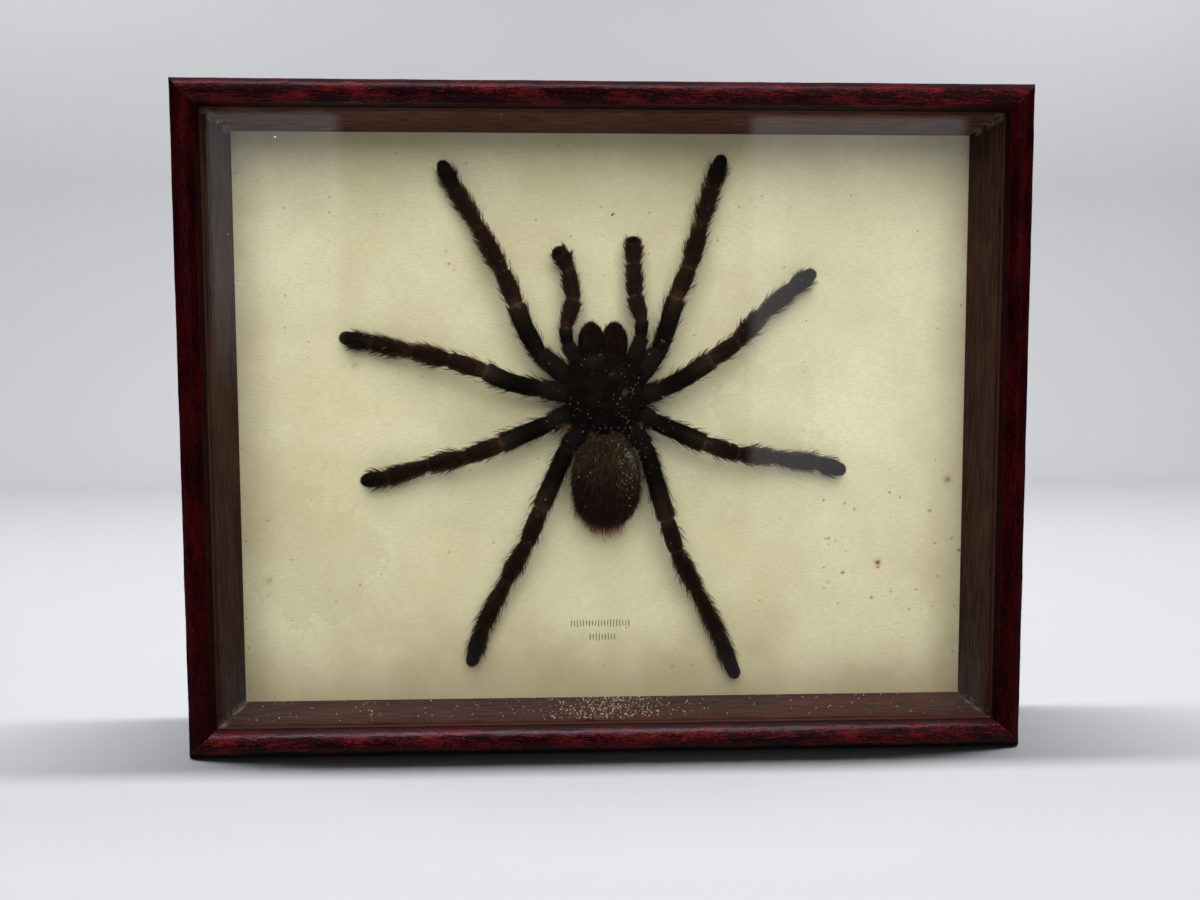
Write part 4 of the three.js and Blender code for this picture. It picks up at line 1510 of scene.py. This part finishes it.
def tarantula():
    """The spider: skin, hair, eyes and the dust in its fur."""
    legs = [limb_skin(leg, LEG_HEIGHTS, LEG_RADII, SEED + 200 + 5 * i) for i, leg in enumerate(LEGS)]
    palps = [limb_skin(palp, PALP_HEIGHTS, PALP_RADII, SEED + 260 + 5 * i) for i, palp in enumerate(PALPS)]
    trunk = trunk_skin()
    jaws = [jaw_skin(jaw, SEED + 280 + 5 * i) for i, jaw in enumerate(JAWS)]
    joined_skin([trunk, *legs, *palps, *jaws], dry_cuticle())
    stiff = fur("stiff_hair", 0.42)
    soft = fur("soft_hair", 0.5)
    limb_hair(legs[0::2], "leg_{}_left", LEG_VELVET, LEG_BRISTLES, SEED + 50, stiff)
    limb_hair(legs[1::2], "leg_{}_right", LEG_VELVET, LEG_BRISTLES, SEED + 55, stiff)
    limb_hair(palps, "palp_{}", PALP_VELVET, PALP_BRISTLES, SEED + 60, stiff)
    trunk_hair(trunk, jaws, stiff, soft)
    coloured_tufts(soft)
    eyes()
    dust(trunk, legs)


# ---- studio


def sweep():
    """A pale floor that curves up into a wall behind."""
    turns = np.linspace(0, math.pi / 2, SWEEP_STEPS + 1)
    bend = [
        (SWEEP_BACK + SWEEP_RADIUS * math.sin(a), SWEEP_RADIUS - SWEEP_RADIUS * math.cos(a)) for a in turns
    ]
    profile = np.array([(SWEEP_FRONT, 0), (0, 0), *bend, (bend[-1][0], SWEEP_TOP)])
    left = np.column_stack([np.full(len(profile), -SWEEP_HALF_WIDTH), profile])
    right = left * [-1, 1, 1]
    rows = np.arange(len(profile) - 1)[:, None]
    across = len(profile)
    faces = np.hstack([rows, rows + across, rows + across + 1, rows + 1])
    floor = add_mesh("studio_floor", np.vstack([left, right]), [faces], [studio_white()])
    floor.visible_glossy = False
    floor.visible_transmission = False
    return floor


def lamp(name, place, target, size, watts):
    """A rectangular lamp aimed at its target."""
    data = bpy.data.lights.new(name, "AREA")
    data.shape = "RECTANGLE"
    data.size = size[0] * MM
    data.size_y = size[1] * MM
    data.energy = watts
    light = bpy.data.objects.new(name, data)
    light.location = Vector(place) * MM
    aim = Vector(target) - Vector(place)
    light.rotation_euler = aim.to_track_quat("-Z", "Y").to_euler()
    bpy.context.scene.collection.objects.link(light)
    return light


def doorway(room, slope, rise, edges, foot, fade, glow):
    """How bright a doorway is in each direction."""
    after = room.spread(slope, edges[0] - DOORWAY_BLUR, edges[0] + DOORWAY_BLUR)
    before = room.spread(slope, edges[1] + DOORWAY_BLUR, edges[1] - DOORWAY_BLUR)
    return room.times(room.times(after, before), room.spread(rise, foot, foot + fade, 0, glow))


def surroundings():
    """A dim room: a pale ceiling, a pale table and two pale doorways behind the camera."""
    world = bpy.data.worlds.new("room")
    world.use_nodes = True
    world.node_tree.nodes.clear()
    room = Nodes(world.node_tree)
    way = room.node("ShaderNodeTexCoord").outputs["Generated"]
    x, y, z = room.node("ShaderNodeSeparateXYZ", {0: way}).outputs
    behind = room.below(y, 0.0)
    distance = room.maths("MAXIMUM", room.maths("ABSOLUTE", y), 0.001)
    slope = room.maths("DIVIDE", x, distance)
    rise = room.maths("DIVIDE", z, distance)
    left, right = (doorway(room, slope, rise, *each) for each in DOORWAYS)
    doorways = room.times(room.plus(left, right), behind)
    ceiling = room.spread(z, CEILING_FROM, 1.0, 0, CEILING_GLOW)
    table = room.times(room.spread(rise, TABLE_FROM, TABLE_FROM - 0.1, 0, TABLE_GLOW), behind)
    strength = room.plus(room.plus(doorways, room.plus(ceiling, table)), ROOM_GLOW)
    mirrored = room.node("ShaderNodeBackground", {"Color": ROOM_COLOUR, "Strength": strength})
    plain = room.node("ShaderNodeBackground", {"Color": BACKDROP_COLOUR})
    direct = room.node("ShaderNodeLightPath").outputs["Is Camera Ray"]
    shaders = {0: direct, 1: mirrored.outputs[0], 2: plain.outputs[0]}
    chosen = room.node("ShaderNodeMixShader", shaders)
    room.node("ShaderNodeOutputWorld", {0: chosen.outputs[0]})
    bpy.context.scene.world = world


def link_light(light, piece, state):
    """Keeps a lamp off one piece (EXCLUDE), or on that piece alone (INCLUDE)."""
    group = bpy.data.collections.new(f"{light.name} {state}")
    group.objects.link(piece)
    light.light_linking.receiver_collection = group
    group.collection_objects[0].light_linking.link_state = state


def studio():
    """Floor, room and lamps. The frame's lamps are kept off the floor, which has two of its own."""
    floor = sweep()
    surroundings()
    lamps = {name: lamp(name, *setting) for name, setting in LAMPS.items()}
    lamps["floor_ahead"].data.spread = math.radians(FLOOR_AHEAD_SPREAD_DEG)
    for name in ("front", "overhead", "floor_light", "floor_ahead"):
        lamps[name].visible_glossy = False
        lamps[name].visible_transmission = False
    for name in ("key", "front", "overhead"):
        link_light(lamps[name], floor, "EXCLUDE")
    for name in ("floor_light", "floor_ahead"):
        link_light(lamps[name], floor, "INCLUDE")
    for x in (-WASH_ASIDE, WASH_ASIDE):
        wash = lamp("wall_wash", (x, *WASH_PLACE), (x, *WASH_TARGET), WASH_SIZE, WASH_WATTS)
        wash.visible_glossy = False
    bpy.context.scene.view_settings.view_transform = "Standard"


def camera():
    """The photograph's camera."""
    data = bpy.data.cameras.new("camera")
    data.sensor_width = SENSOR_WIDTH
    data.lens = CAMERA_LENS
    data.clip_start = 0.01
    turn = Matrix()
    for angle, axis in zip(CAMERA_TURNS_DEG, "XYZ"):
        turn = turn @ Matrix.Rotation(math.radians(angle), 4, axis)
    made = bpy.data.objects.new("camera", data)
    made.matrix_world = Matrix.Translation(Vector(CAMERA_PLACE) * MM) @ turn
    bpy.context.scene.collection.objects.link(made)
    bpy.context.scene.camera = made


# ---- the scene

camera()
studio()
rails()
flat_pieces()
tarantula()
crumbs()
